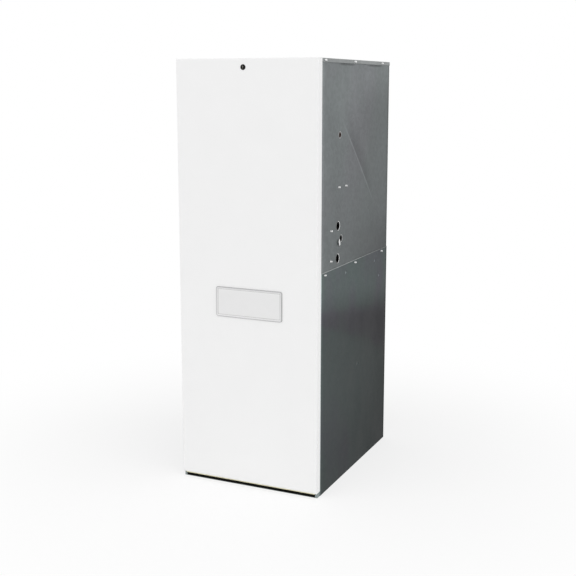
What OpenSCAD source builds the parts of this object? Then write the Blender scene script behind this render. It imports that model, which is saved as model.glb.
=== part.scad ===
// Downflow electric furnace for a service closet, in millimetres.
// The origin is the bottom centre of the whole object. +Z is up and the door faces -Y.

/* [Cabinet] */
// Outside width over the upper side panels
cab_w = 500; // [480:2:560]
// Depth from the front flanges to the outside of the upper back panel
cab_d = 630; // [620:2:700]
// Height to the top of the top cover
cab_h = 1421; // [1411:2:1501]
// Thickness of the galvanised sheet
sheet = 1; // [0.8:0.1:1.2]
// Width of the inward bends along the vertical edges of the side panels
flange_w = 18; // [14:1:24]
// Outside radius of the bends along the edges of the panels and the top cover
bend_r = 2.5; // [1.5:0.5:3]
// Height of the seam, which is the top edge of the lower panels
seam_h = 747; // [737:1:750]
// How far the upper panels reach down inside the lower ones
lap = 20; // [14:1:24]
// Height of the top cover's turned down edge
top_flange = 12.5; // [11:0.5:16]
// How far the middle of a cross broken side panel stands out
cross_rise = 3; // [1:0.5:4]
// Flat margin round the cross broken field at the front and back edges
cross_margin = 18; // [8:1:24]
// Height of the cross broken field above the seam
cross_low = 53; // [50:1:70]
// Distance of the cross broken field below the top
cross_high = 46; // [30:1:60]

/* [Base] */
// Height of the base pan's upturned edge
base_lip = 25; // [20:1:30]
// How far the base reaches forward under the door
toe = 20; // [16:1:24]
// Height of the base in front of the cabinet
toe_h = 16; // [13:0.5:16.5]
// Width of the small bend at each front corner of the base
toe_bend = 8; // [6:1:12]
// Height of the dark kick strip
kick_h = 12.8; // [10:0.1:13.5]
// Width of the supply air opening
supply_w = 343; // [300:1:360]
// Depth of the supply air opening
supply_d = 343; // [300:1:360]
// Height of the turned up edge round the supply air opening
supply_lip = 12; // [8:1:20]
// Radius of the four holes that fix the base
base_hole_r = 4.5; // [3:0.5:6]
// Distance between the fixing holes across the cabinet
base_hole_w = 420; // [390:2:440]
// Distance between the fixing holes from front to back
base_hole_d = 540; // [440:2:560]
// Height of the rail across the bottom of the front
base_rail_h = 60; // [50:1:80]
// Height of the two rails that a cooling coil slides in on
coil_rail_z = 90; // [82:1:160]

/* [Door] */
// Depth of the door pan
door_d = 30; // [26:1:36]
// Height of the door's lower edge above the floor
door_bottom = 17; // [16.8:0.1:20]
// How far the door stands above the top cover
door_above = 1; // [0:0.5:3]
// Outside radius of the bends round the door's face
door_bend = 3; // [2:0.5:4]
// Width of the hem round the back of the door
door_hem = 10; // [8:1:14]
// Thickness of the insulation inside the door
door_liner_t = 12; // [8:1:16]
// Width of each tongue that locates the foot of the door
tongue_w = 40; // [30:1:60]
// Distance of each tongue from the middle
tongue_x = 150; // [120:1:180]
// Height of the tongues above the floor
tongue_z = 40; // [36:0.5:44]

/* [Nameplate] */
// Width of the blank nameplate
plate_w = 240; // [200:1:260]
// Height of the blank nameplate
plate_h = 100; // [80:1:110]
// How far the nameplate stands out from the door
plate_t = 3; // [3:0.5:4]
// Corner radius of the nameplate
plate_r = 7; // [6:0.5:14]
// Width of the raised rim
plate_rim = 4; // [3:0.5:7]
// Sideways place of the nameplate's middle
plate_x = 8; // [-20:1:20]
// Height of the nameplate's middle
plate_z = 634; // [560:1:720]

/* [Latch] */
// Sideways place of the latch
latch_x = -7; // [-30:1:30]
// Distance of the latch below the top of the door
latch_drop = 28; // [26:1:34]
// Radius of the black grommet's flange
grommet_r = 8.8; // [8:0.1:10]
// Radius of the latch stud
stud_r = 4; // [3:0.1:4.5]
// Length of the wing across the stud
wing_l = 20; // [16:1:24]
// Width of the wing
wing_w = 4; // [3:0.5:6]

/* [Filter] */
// Width of the air filter
filter_w = 394; // [380:1:400]
// Depth of the air filter, front to back
filter_d = 495; // [480:1:510]
// Thickness of the air filter
filter_t = 22; // [18:1:24]
// Gap between the filter and its rack
filter_gap = 3; // [2:0.5:5]
// Width of the ledge that the filter lies on
ledge_w = 12; // [8:1:16]
// Width of the filter's card frame
filter_rim = 20; // [14:1:26]

/* [Blower] */
// Radius of the blower wheel
wheel_r = 120; // [112:1:122]
// Width of the blower wheel
wheel_w = 200; // [180:2:210]
// Number of blades round the wheel
blades = 36; // [24:1:40]
// Radial length of the blades
blade_l = 18; // [14:1:20]
// Thickness of a blade
blade_t = 1; // [0.8:0.1:1.5]
// Gap where a blade's ends and inner edge are crimped to the rings and the middle plate
crimp = 0.1; // [0.1:0.05:0.3]
// Inside width of the blower housing
housing_w = 230; // [226:2:240]
// Largest radius of the scroll, at its back
scroll_max = 195; // [190:1:198]
// Smallest radius of the scroll, at its tongue
scroll_min = 132; // [130:1:140]
// Height of the blower's shaft above the deck
shaft_rise = 160; // [156:1:166]
// Gap between the scroll and the cabinet's back
scroll_gap = 62; // [50:1:80]
// Radius of the inlet of the blower housing
inlet_r = 94; // [90:1:96]
// Radius of the rolled edge of the inlet
bell_r = 12; // [8:1:12]
// Radius of the motor
motor_r = 70; // [60:1:72]
// Length of the motor
motor_l = 140; // [120:1:150]
// Radius of the motor shaft
shaft_r = 6.35; // [6:0.05:8]
// Height of the deck that carries the blower
deck_z = 1018; // [1012:1:1024]

/* [Heaters] */
// Number of heating elements
heaters = 3; // [3]
// Distance between the elements
heater_pitch = 80; // [70:1:90]
// Radius of the coil, to the middle of its wire
coil_r = 12; // [8:0.5:13]
// Radius of the resistance wire
wire_r = 1.2; // [0.8:0.1:1.4]
// Turns in each of an element's two coils
turns = 14; // [8:1:16]
// Length of one turn along the coil
coil_pitch = 22; // [12:0.5:22]
// Height of an element's middle
heater_z = 880; // [872:1:888]
// Half the distance between an element's two coils
coil_spread = 45; // [40:1:48]

/* [Controls] */
// Depth of the control compartment
ctl_depth = 210; // [208:1:215]
// Height of the control compartment's floor
ctl_floor_z = 756; // [752:1:760]
// Width of a two pole breaker
breaker_w = 50; // [44:1:52]
// Height of a two pole breaker
breaker_h = 75; // [68:1:82]
// Depth of a breaker's body
breaker_d = 53; // [50:1:54]
// Height of the lower edge of the breakers
breaker_z = 880; // [860:1:900]
// Half the angle that a breaker's toggle swings
toggle_swing = 25; // [15:1:25]

/* [Cable entries] */
// Radius of the two large cable knock-outs
knock_r = 14.3; // [12:0.1:16]
// Radius of the small knock-out between them
knock_small_r = 11.1; // [9:0.1:11.5]
// Distance of the knock-outs behind the face of the door
knock_back = 170; // [160:1:180]
// Height of the lower large knock-out
knock_low_z = 776; // [774:1:780]
// Height of the upper large knock-out
knock_high_z = 884; // [878:1:890]
// Height of the small knock-out
knock_small_z = 839; // [836:1:842]
// Height of the grommet for the thermostat cable
stat_z = 1180; // [1150:1:1220]
// Radius of that grommet's hole in the panel
stat_r = 6.5; // [6:0.1:8]

/* [Hidden] */
// Height of the hex heads on the sides, and of the low heads at the back, which may stand against a wall
head_t = 4.5;
back_head_t = 2;
head_r = 4.6;
shank_r = 1.9;
shank_l = 7;
screw_hole = shank_r + 0.2;
// Play between pieces that only lie beside each other, and round a turning shaft
play = 0.3;
run = 0.05;
// How far below level the slug's hinge is, and the angle at which the slug stands off the panel
slug_side = 30;
slug_lift = 12;
// Sides of round things
$fn = 48;

// Main planes of the cabinet and the door
half_w = cab_w / 2;
skin = half_w + sheet;
door_y = plate_t - (plate_t + door_d + cab_d + sheet + back_head_t) / 2;
front_y = door_y + door_d;
back_y = front_y + cab_d;
top_in = cab_h - sheet;
door_top = cab_h + door_above;
low_flange_z = base_lip + sheet;
high_flange_z = seam_h - lap;
liner_t = 12;
panel_top = top_in - bend_r + sheet;
rail_x = half_w - bend_r;
bay_y0 = front_y + bend_r;
bay_y1 = back_y - sheet - bend_r;

// Cross broken field of the upper side panels
cross_y0 = front_y + cross_margin;
cross_y1 = back_y - cross_margin;
cross_z0 = seam_h + cross_low;
cross_z1 = cab_h - cross_high;
cross_y = (cross_y0 + cross_y1) / 2;
cross_z = (cross_z0 + cross_z1) / 2;
function rise(y, z) = cross_rise * max(0, min((y - cross_y0) / (cross_y - cross_y0),
    (cross_y1 - y) / (cross_y1 - cross_y), (z - cross_z0) / (cross_z - cross_z0),
    (cross_z1 - z) / (cross_z1 - cross_z)));

// Rails behind the front flanges
rail_y = front_y + sheet;
rail_d = 20;
top_rail_h = 60;
mid_rail_h = 50;
mid_rail_z = ctl_floor_z - sheet - mid_rail_h;

// Latch
latch_z = door_top - latch_drop;
latch_head_r = stud_r + 1.8;
grommet_t = 1.6;
strike_t = 1.5;
wing_t = 3;
wing_y = rail_y + sheet + strike_t + 0.5;
key_play = 0.6;

// Filter rack
rack_w = filter_w + 2 * filter_gap;
rack_d = filter_d + 2 * filter_gap;
rack_y = (front_y + back_y) / 2;
rack_h = filter_t + 8;
ledge_z = top_in - rack_h;

// Blower
blower_y = back_y - scroll_gap - scroll_max;
blower_z = deck_z + shaft_rise;
scroll_sweep = 250;
scroll_steps = 40;
tongue_y = blower_y + scroll_min * cos(scroll_sweep);
housing_x = housing_w / 2;
foot_w = 12;
function scroll_r(a) = scroll_max - (scroll_max - scroll_min) * a / scroll_sweep;
function scroll_point(a, out) = [blower_y + (scroll_r(a) + out) * cos(a),
    blower_z + (scroll_r(a) + out) * sin(a)];
function scroll_line(out) = concat([[blower_y + scroll_max + out, deck_z]],
    [for (i = [0 : scroll_steps]) scroll_point(scroll_sweep * i / scroll_steps, out)],
    [[tongue_y - out, deck_z]]);
ring_t = 2;
blade_root_r = wheel_r - blade_l;
motor_x = 25;
band_x = motor_x + 100;
band_w = 25;
band_t = 2;
arm_w = 16;
arm_t = 3;
arm_foot = 14;
hub_r = 16;
hub_l = 20;

// Heating elements, which reach back from the control compartment's wall
ctl_back = front_y + ctl_depth;
plate_front = ctl_back - sheet - 1.5;
element_w = 62;
element_h = 176;
wall_hole_w = 50;
wall_hole_h = 158;
coil_y = ctl_back + 26;
coil_tail = 14;
coil_steps = 8;
tube_sides = 6;
coil_end = coil_y + coil_pitch * (turns - 0.25);
post = 8;
post_r = 2.5;
card_w = 46;
card_margin = 20;
bush_r = 6;
card_t = 2;
spade_l = 20;
rod_r = 2.5;
rod_x = -17;
rod_z = 20;
element_xs = [for (i = [0 : heaters - 1]) (i - (heaters - 1) / 2) * heater_pitch];
card_ys = [coil_y + 10, (coil_y + coil_end) / 2, coil_end - 12];

// Control compartment
bracket_y = front_y + 100;
bracket_x = 60;
breaker_xs = [half_w - 145, half_w - 90];
bracket_d = 30;
bracket_drop = 25;
bracket_top = deck_z - bracket_drop;
nose_w = breaker_w - 6;
nose_h = breaker_h - 35;
nose_t = 10;
breaker_front = bracket_y - breaker_d;
cover_gap = 4;
cover_lip = 16;
cover_y = breaker_front - cover_gap;
toggle_w = 22;
toggle_z = breaker_z + breaker_h / 2;
toggle_pin_r = 4;
toggle_y = breaker_front - nose_t + 5;
stud_x = -half_w + 35;

// Transformer: iron core on a foot, with a winding that stands out at both sides
core_x = -half_w + 60;
core_y = front_y + 130;
core_w = 60;
core_d = 28;
core_h = 50;
foot_rim = 8;
foot_t = 2;
winding_w = 30;
winding_h = 32;
winding_out = 10;

// Run capacitor on the deck
can_x = -half_w + 100;
can_y = front_y + 90;
can_h = 70;
can_r = 16;
can_flat = 20;
strap_h = 20;
strap_z = 25;

// Terminal strip on the control cover
strip_x = -half_w + 50;
strip_w = 70;
strip_d = 12;
strip_h = 16;
strip_z = deck_z - 58;
strip_posts = 5;

// Screws in the side of the cabinet, each [distance behind the door's face, height]
deck_screw_z = deck_z - 7;
top_screws_u = [55, 310, 578];
seam_screws_u = [60, 330, 600];
seam_screw_z = seam_h - 9;
deck_screws = [[174, deck_screw_z], [234, deck_screw_z]];
bracket_screws = [[111, 775], [111, 874.5]];

// Screws up both edges of the back: the first below and above the seam, the step to the next, the last
back_screw_below = 47;
back_screw_above = 73;
back_screw_step = 260;
back_screw_top = 81;
back_screws_z = [seam_h * 0.16, seam_h * 0.56, seam_h - back_screw_below, seam_h + back_screw_above,
    seam_h + back_screw_above + back_screw_step, cab_h - back_screw_top];
back_screws_x = half_w - flange_w / 2;

GALV = "#8a9090";
GALV_LOW = "#4c5453";
WHITE = "#f0f0f0";
BLACK = "#1c1c1c";
FOIL = "#c9ccce";
FOAM = "#efe6b8";

// A block between two opposite corners
module block(low, high) {
    translate(low) cube(high - low);
}

// A flat outline drawn in Y and Z and carried along X
module along_x(x0, x1) {
    translate([x0, 0, 0]) rotate([90, 0, 90]) linear_extrude(x1 - x0) children();
}

// A flat outline drawn in X and Z and carried along Y
module along_y(y0, y1) {
    translate([0, y1, 0]) rotate([90, 0, 0]) linear_extrude(y1 - y0) children();
}

// A round bar along X, along Y
module bar_x(x0, x1, y, z, r) {
    translate([x0, y, z]) rotate([0, 90, 0]) cylinder(h = x1 - x0, r = r);
}

module bar_y(x, y0, y1, z, r) {
    translate([x, y1, z]) rotate([90, 0, 0]) cylinder(h = y1 - y0, r = r);
}

// A rectangle about its own middle with round corners
module round_rect(w, h, r) {
    square([w - 2 * r, h], center = true);
    square([w, h - 2 * r], center = true);
    for (x = [-1, 1], y = [-1, 1]) translate([x * (w / 2 - r), y * (h / 2 - r)]) circle(r = r);
}

// Hex washer head screw of head height t whose seat is at the origin, with its shank along -Z
module screw(t) {
    cylinder(h = t * 0.3, r = head_r);
    cylinder(h = t, r = head_r * 0.8, $fn = 6);
    translate([0, 0, -shank_l]) cylinder(h = shank_l, r = shank_r);
}

module both_sides() {
    children();
    mirror([1, 0, 0]) children();
}

module base_pan() {
    color(GALV_LOW) difference() {
        union() {
            block([-half_w, front_y - toe, 0], [half_w, back_y, sheet]);
            block([-half_w, back_y - sheet, 0], [half_w, back_y, base_lip]);
            both_sides() {
                block([half_w - sheet, front_y, 0], [half_w, back_y, base_lip]);
                block([half_w - sheet, front_y - toe, 0], [half_w, front_y, toe_h]);
                block([half_w - toe_bend, front_y - toe, 0], [half_w, front_y - toe + sheet, toe_h]);
            }
            translate([0, rack_y, 0]) linear_extrude(supply_lip)
                square([supply_w + 2 * sheet, supply_d + 2 * sheet], center = true);
        }
        translate([0, rack_y, -1]) linear_extrude(supply_lip + 2)
            square([supply_w, supply_d], center = true);
        for (x = [-1, 1], y = [-1, 1])
            translate([x * base_hole_w / 2, rack_y + y * base_hole_d / 2, -1])
                cylinder(h = sheet + 2, r = base_hole_r);
    }
}

// Dark strip between the front corners of the base
module kick_strip() {
    x = half_w - toe_bend - play;
    color(BLACK) union() {
        block([-x, front_y - toe, sheet], [x, front_y - toe + sheet, kick_h]);
        block([-x, front_y - toe, kick_h - sheet], [x, rail_y, kick_h]);
    }
}

// Pale foam strip on the kick strip, under the door's lower edge
module kick_seal() {
    x = half_w - toe_bend - play;
    color(FOAM) block([-x, door_y + 4, kick_h], [x, front_y - 4, door_bottom - play]);
}

module base_rail() {
    x = rail_x;
    color(GALV) difference() {
        union() {
            block([-x, rail_y, sheet], [x, rail_y + sheet, base_rail_h]);
            block([-x, rail_y, base_rail_h - sheet], [x, rail_y + rail_d, base_rail_h]);
        }
        for (s = [-1, 1])
            block([s * tongue_x - tongue_w / 2 - 3, rail_y - 1, tongue_z - 1.5],
                [s * tongue_x + tongue_w / 2 + 3, rail_y + sheet + 1, tongue_z + 3]);
    }
}

module seam_holes() {
    for (u = seam_screws_u) bar_x(half_w - 5, skin + 5, door_y + u, seam_screw_z, screw_hole);
}

// Plan of a side panel with its two bends, or of the space inside it, `in` inside its skin
module panel_space(x, y0, y1, in) {
    r = bend_r - in;
    translate([x - flange_w - in, y0 + in]) square([flange_w + in - bend_r, y1 - y0 - 2 * in]);
    translate([x - bend_r - 1, y0 + bend_r]) square([bend_r + 1 - in, y1 - y0 - 2 * bend_r]);
    for (y = [y0 + bend_r, y1 - bend_r]) translate([x - bend_r, y]) circle(r = r);
}

module panel_plan(x, y0, y1) {
    difference() {
        panel_space(x, y0, y1, 0);
        panel_space(x, y0, y1, sheet);
    }
}

module side_lower() {
    bent_top = high_flange_z - sheet;
    difference() {
        union() {
            block([half_w, front_y, 0], [skin, back_y, low_flange_z]);
            block([half_w, front_y, bent_top], [skin, back_y, seam_h]);
            translate([0, 0, low_flange_z]) linear_extrude(bent_top - low_flange_z)
                panel_plan(skin, front_y, back_y);
        }
        seam_holes();
        back_holes(0, seam_h);
    }
}

module side_lower_right() {
    color(GALV_LOW) side_lower();
}

module side_lower_left() {
    color(GALV_LOW) mirror([1, 0, 0]) side_lower();
}

// The four shallow slopes of a cross broken panel, one sheet thick
module cross_break() {
    corners = [[cross_y0, cross_z0], [cross_y1, cross_z0], [cross_y1, cross_z1], [cross_y0, cross_z1]];
    outer = concat([for (c = corners) [half_w, c[0], c[1]]], [[half_w + cross_rise, cross_y, cross_z]]);
    inner = [for (p = outer) p - [sheet, 0, 0]];
    slopes = [for (i = [0 : 3]) [(i + 1) % 4, i, 4]];
    backs = [for (i = [0 : 3]) [i + 5, (i + 1) % 4 + 5, 9]];
    edges = [for (i = [0 : 3]) [i, (i + 1) % 4, (i + 1) % 4 + 5, i + 5]];
    polyhedron(concat(outer, inner), concat(slopes, backs, edges));
}

module side_upper() {
    low = high_flange_z;
    difference() {
        translate([0, 0, low]) linear_extrude(panel_top - low) panel_plan(half_w, front_y, back_y - sheet);
        block([half_w - 5, cross_y0, cross_z0], [half_w + 5, cross_y1, cross_z1]);
    }
    cross_break();
}

module side_upper_drilled() {
    difference() {
        side_upper();
        seam_holes();
        for (u = top_screws_u)
            bar_x(half_w - 5, skin + 5, door_y + u, cab_h - top_flange / 2, screw_hole);
        back_holes(seam_h, cab_h);
        panel_holes(deck_screws);
    }
}

module panel_holes(places) {
    for (p = places) bar_x(half_w - 5, skin + 5, door_y + p[0], p[1], screw_hole);
}

module side_upper_right() {
    knock_y = door_y + knock_back;
    color(GALV) difference() {
        side_upper_drilled();
        panel_holes(bracket_screws);
        bar_x(half_w - 5, skin + 5, knock_y, knock_low_z, knock_r);
        bar_x(half_w - 5, skin + 5, knock_y, knock_high_z, knock_r);
        bar_x(half_w - 5, skin + 5, knock_y + 28, knock_small_z, knock_small_r);
        bar_x(half_w - 5, skin + 5, knock_y + 8, stat_z, stat_r);
    }
}

module side_upper_left() {
    color(GALV) mirror([1, 0, 0]) side_upper_drilled();
}

// The small knock-out's slug, folded out over the panel about the lower front of its hole
module knockout_slug() {
    y = door_y + knock_back + 28 - knock_small_r * cos(slug_side);
    z = knock_small_z - knock_small_r * sin(slug_side);
    slug_r = knock_small_r - play;
    color(GALV) translate([half_w + rise(y, z) + run, y, z]) rotate([180 + slug_side, 0, 0])
        rotate([0, 0, -slug_lift]) bar_x(0, sheet, slug_r, 0, slug_r);
}

// Grommet for the thermostat cable, in its hole in the right panel
module thermostat_grommet() {
    y = door_y + knock_back + 8;
    x = half_w + rise(y, stat_z);
    color("#4a3226") difference() {
        union() {
            bar_x(x + 0.1, x + 1.8, y, stat_z, stat_r + 2);
            bar_x(x - 3, x + 0.2, y, stat_z, stat_r - 0.1);
        }
        bar_x(x - 4, x + 3, y, stat_z, stat_r - 3);
    }
}

module back_holes(low, high) {
    y = back_y - shank_l - 1;
    for (s = [-1, 1], z = back_screws_z)
        if (z > low && z < high) bar_y(s * back_screws_x, y, back_y + 5, z, screw_hole);
    for (x = [-1, 0, 1]) bar_y(x * back_screws_x / 2, y, back_y + 5, seam_screw_z, screw_hole);
}

module back_lower() {
    color(GALV_LOW) difference() {
        block([-skin, back_y, 0], [skin, back_y + sheet, seam_h]);
        back_holes(0, seam_h);
    }
}

module back_upper() {
    color(GALV) difference() {
        block([-half_w, back_y - sheet, high_flange_z], [half_w, back_y, panel_top]);
        back_holes(seam_h, cab_h);
    }
}

// Outline across the top cover, and from front to back, `in` inside its skin
module cover_across(in, low) {
    x = skin - in;
    z = cab_h - in;
    r = bend_r - in;
    translate([-x, low]) square([2 * x, z - r - low]);
    translate([r - x, z - r - 1]) square([2 * (x - r), r + 1]);
    for (s = [-1, 1]) translate([s * (x - r), z - r]) circle(r = r);
}

module cover_along(in, low) {
    y = back_y + sheet - in;
    z = cab_h - in;
    r = bend_r - in;
    translate([front_y - in, low]) square([y - front_y + in, z - r - low]);
    translate([front_y - in, z - r - 1]) square([y - r - front_y + in, r + 1]);
    translate([y - r, z - r]) circle(r = r);
}

module cover_form(in) {
    low = cab_h - top_flange - in;
    intersection() {
        along_y(front_y - in, back_y + sheet - in) cover_across(in, low);
        along_x(-skin, skin) cover_along(in, low);
    }
}

module top_cover() {
    color(GALV) difference() {
        cover_form(0);
        cover_form(sheet);
        translate([0, rack_y, top_in - 1]) linear_extrude(sheet + 2)
            square([rack_w, rack_d], center = true);
        for (s = [-1, 1], u = top_screws_u)
            bar_x(s * half_w - 5, s * half_w + 5, door_y + u, cab_h - top_flange / 2, screw_hole);
    }
}

// Outline of the latch's wing and stud, with room round it
module key_outline(room) {
    circle(r = stud_r + room);
    square([wing_w + 2 * room, wing_l + 2 * room], center = true);
}

module latch_key(y0, y1) {
    translate([latch_x, 0, latch_z]) along_y(y0, y1) key_outline(key_play);
}

module rail(low, high) {
    x = rail_x;
    block([-x, rail_y, low], [x, rail_y + sheet, high]);
    block([-x, rail_y, low], [x, rail_y + rail_d, low + sheet]);
    block([-x, rail_y, high - sheet], [x, rail_y + rail_d, high]);
}

module front_top_rail() {
    color(GALV) difference() {
        rail(top_in - top_rail_h, top_in - play);
        latch_key(rail_y - 1, rail_y + sheet + 1);
    }
}

module latch_strike() {
    color("#b0b4b6") difference() {
        translate([latch_x, 0, latch_z]) along_y(rail_y + sheet, rail_y + sheet + strike_t)
            round_rect(34, 36, 4);
        latch_key(rail_y, rail_y + 10);
    }
}

module front_mid_rail() {
    color(GALV) rail(mid_rail_z, mid_rail_z + mid_rail_h);
}

// Insulation on both sides and the back of one section
module liner(x, y, low, high) {
    block([bend_r - x, y - liner_t, low], [x - bend_r, y, high]);
    both_sides() block([x - liner_t, rail_y + rail_d + play, low], [x, y - bend_r, high]);
}

module lower_liner() {
    color(FOIL) difference() {
        liner(half_w, back_y - sheet, low_flange_z, mid_rail_z - 10);
        back_holes(0, seam_h);
    }
}

module upper_liner() {
    x = half_w - sheet;
    color(FOIL) difference() {
        liner(x, back_y - 2 * sheet, deck_z, ledge_z - 20);
        back_holes(seam_h, cab_h);
        bar_x(x - liner_t - 1, x + 1, door_y + knock_back + 8, stat_z, stat_r + 2);
    }
}

// Two angle rails that a cooling coil would slide in on
module coil_rails() {
    x = half_w - liner_t;
    rail_w = 30;
    color(GALV) both_sides() {
        block([x - sheet, front_y + 30, coil_rail_z], [x, back_y - 30, coil_rail_z + rail_w]);
        block([x - rail_w, front_y + 30, coil_rail_z], [x, back_y - 30, coil_rail_z + sheet]);
    }
}

module blower_deck() {
    x = half_w - sheet;
    y0 = bay_y0;
    y1 = bay_y1;
    edge = 15;
    color(GALV) difference() {
        union() {
            block([-x, y0, deck_z - sheet], [x, y1, deck_z]);
            block([-x, y0, deck_z - edge], [x, y0 + sheet, deck_z]);
            block([-x, y1 - sheet, deck_z - edge], [x, y1, deck_z]);
            both_sides() block([x - sheet, y0, deck_z - edge], [x, y1, deck_z]);
        }
        block([-housing_x, tongue_y, deck_z - 5], [housing_x, blower_y + scroll_max, deck_z + 5]);
        for (s = [-1, 1], p = deck_screws)
            bar_x(s * x - 5, s * x + 5, door_y + p[0], p[1], screw_hole);
    }
}

module control_floor() {
    x = rail_x;
    color(GALV) block([-x, rail_y, ctl_floor_z - sheet], [x, ctl_back, ctl_floor_z]);
}

module control_wall() {
    x = half_w - 2 * sheet;
    high = deck_z - sheet;
    color(GALV) difference() {
        union() {
            block([-x, ctl_back - sheet, ctl_floor_z], [x, ctl_back, high]);
            block([-x, ctl_back - 12, high - sheet], [x, ctl_back, high]);
        }
        for (x = element_xs)
            block([x - wall_hole_w / 2, ctl_back - 5, heater_z - wall_hole_h / 2],
                [x + wall_hole_w / 2, ctl_back + 5, heater_z + wall_hole_h / 2]);
    }
}

module control_cover() {
    x = half_w - 2 * sheet;
    high = deck_z - sheet;
    color(GALV) difference() {
        union() {
            block([-x, cover_y, ctl_floor_z], [x, cover_y + sheet, high]);
            block([-x, cover_y - cover_lip, ctl_floor_z], [x, cover_y, ctl_floor_z + sheet]);
        }
        for (x = breaker_xs)
            block([x - nose_w / 2 - 1, cover_y - 5, toggle_z - nose_h / 2 - 1],
                [x + nose_w / 2 + 1, cover_y + 5, toggle_z + nose_h / 2 + 1]);
    }
}

// Side plate of the blower housing with its rolled inlet
module blower_side() {
    difference() {
        along_x(housing_x, housing_x + sheet) polygon(scroll_line(sheet));
        bar_x(housing_x - 5, housing_x + 5, blower_y, blower_z, inlet_r + bell_r);
    }
    translate([housing_x + sheet - bell_r, blower_y, blower_z]) rotate([0, 90, 0])
        rotate_extrude() translate([inlet_r + bell_r, 0]) intersection() {
            difference() {
                circle(r = bell_r);
                circle(r = bell_r - sheet);
            }
            translate([-bell_r, 0]) square(bell_r);
        }
}

module blower_housing() {
    color(GALV) union() {
        difference() {
            along_x(-housing_x, housing_x) polygon(scroll_line(sheet));
            along_x(-housing_x - 1, housing_x + 1) polygon(scroll_line(0));
        }
        both_sides() blower_side();
        difference() {
            block([-housing_x - foot_w, tongue_y - foot_w, deck_z],
                [housing_x + foot_w, blower_y + scroll_max + foot_w, deck_z + sheet]);
            block([-housing_x, tongue_y, deck_z - 1], [housing_x, blower_y + scroll_max, deck_z + 5]);
        }
    }
}

// One forward curved blade seen along the shaft
module blade_outline() {
    bow = blade_l * 0.9;
    intersection() {
        translate([blade_root_r + blade_l * 0.35, bow * 0.8]) difference() {
            circle(r = bow);
            circle(r = bow - blade_t);
        }
        difference() {
            circle(r = wheel_r, $fn = 96);
            circle(r = blade_root_r, $fn = 96);
        }
        translate([blade_root_r - 2, -blade_l]) square([blade_l + 4, blade_l * 1.55]);
    }
}

module wheel_ring(x0, x1, inner, outer) {
    translate([x0, 0, 0]) rotate([0, 90, 0]) difference() {
        cylinder(h = x1 - x0, r = outer);
        translate([0, 0, -1]) cylinder(h = x1 - x0 + 2, r = inner);
    }
}

// Blades crimped to a ring at each end and to the rim of the middle plate
module blower_wheel() {
    x = wheel_w / 2;
    blade_x = x - ring_t - crimp;
    color("#a9adad") translate([0, blower_y, blower_z]) {
        for (i = [0 : blades - 1])
            rotate([i * 360 / blades, 0, 0]) along_x(-blade_x, blade_x) blade_outline();
        both_sides() wheel_ring(x - ring_t, x, blade_root_r - 1, wheel_r + 1);
        wheel_ring(-sheet, sheet, hub_r, blade_root_r - crimp);
    }
}

module wheel_hub() {
    color("#6f7474") difference() {
        union() {
            bar_x(-hub_l, hub_l, blower_y, blower_z, hub_r);
            bar_x(sheet, 4, blower_y, blower_z, hub_r + 10);
        }
        bar_x(-hub_l - 1, hub_l + 1, blower_y, blower_z, shaft_r);
    }
}

module motor_shaft() {
    color("#9a9ea0") bar_x(-hub_l - 12, motor_x + motor_l + 8, blower_y, blower_z, shaft_r);
}

// Motor with a domed bell and vent slots at each end
module blower_motor() {
    dome = 14;
    color("#3c4348") translate([motor_x, blower_y, blower_z]) rotate([0, 90, 0]) difference() {
        rotate_extrude() polygon([
            [0, 0], [20, 0], [22, 4], [motor_r - dome, 6], [motor_r - 3, dome], [motor_r, dome + 3],
            [motor_r, motor_l - dome - 3], [motor_r - 3, motor_l - dome], [motor_r - dome, motor_l - 6],
            [22, motor_l - 4], [20, motor_l], [0, motor_l]
        ]);
        translate([0, 0, -1]) cylinder(h = motor_l + 2, r = shaft_r + run);
        for (i = [0 : 11]) rotate([0, 0, i * 30]) for (z = [dome + 6, motor_l - dome - 26])
            translate([motor_r - 5, -3, z]) cube([10, 6, 20]);
    }
}

// Band round the motor and three arms to the side of the blower housing
module motor_mount() {
    seat_x = housing_x + sheet;
    seat_r = inlet_r + bell_r + 4;
    arm_x = band_x + band_w / 2;
    color("#7c8284") translate([0, blower_y, blower_z]) union() {
        wheel_ring(band_x, band_x + band_w, motor_r + play, motor_r + play + band_t);
        for (i = [0 : 2]) rotate([i * 120 + 90, 0, 0]) {
            block([arm_x - arm_t, motor_r + band_t, -arm_w / 2], [arm_x, seat_r + arm_t, arm_w / 2]);
            block([seat_x, seat_r, -arm_w / 2], [arm_x, seat_r + arm_t, arm_w / 2]);
            block([seat_x, seat_r, -arm_w / 2], [seat_x + band_t, seat_r + arm_foot, arm_w / 2]);
        }
    }
}

// Oval capacitor lying on the deck
module can_outline(room) {
    square([can_flat, 2 * (can_r + room)], center = true);
    for (s = [-1, 1]) translate([s * can_flat / 2, 0]) circle(r = can_r + room);
}

module run_capacitor() {
    tab = [6, 1, 8];
    color("#b9bdc0") translate([can_x, can_y, deck_z]) {
        linear_extrude(can_h) can_outline(0);
        for (s = [-1, 1]) translate([s * 9 - tab[0] / 2, -tab[1] / 2, can_h]) cube(tab);
    }
}

// Strap round the can, with a leg down to the deck and a foot on it
module capacitor_strap() {
    leg = can_flat / 2 + can_r + play;
    color(GALV) translate([can_x, can_y, deck_z]) union() {
        translate([0, 0, strap_z]) linear_extrude(strap_h) difference() {
            can_outline(play + sheet);
            can_outline(play);
        }
        block([leg, -8, 0], [leg + sheet, 8, strap_z + strap_h]);
        block([leg, -8, 0], [leg + 19, 8, sheet]);
    }
}

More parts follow.
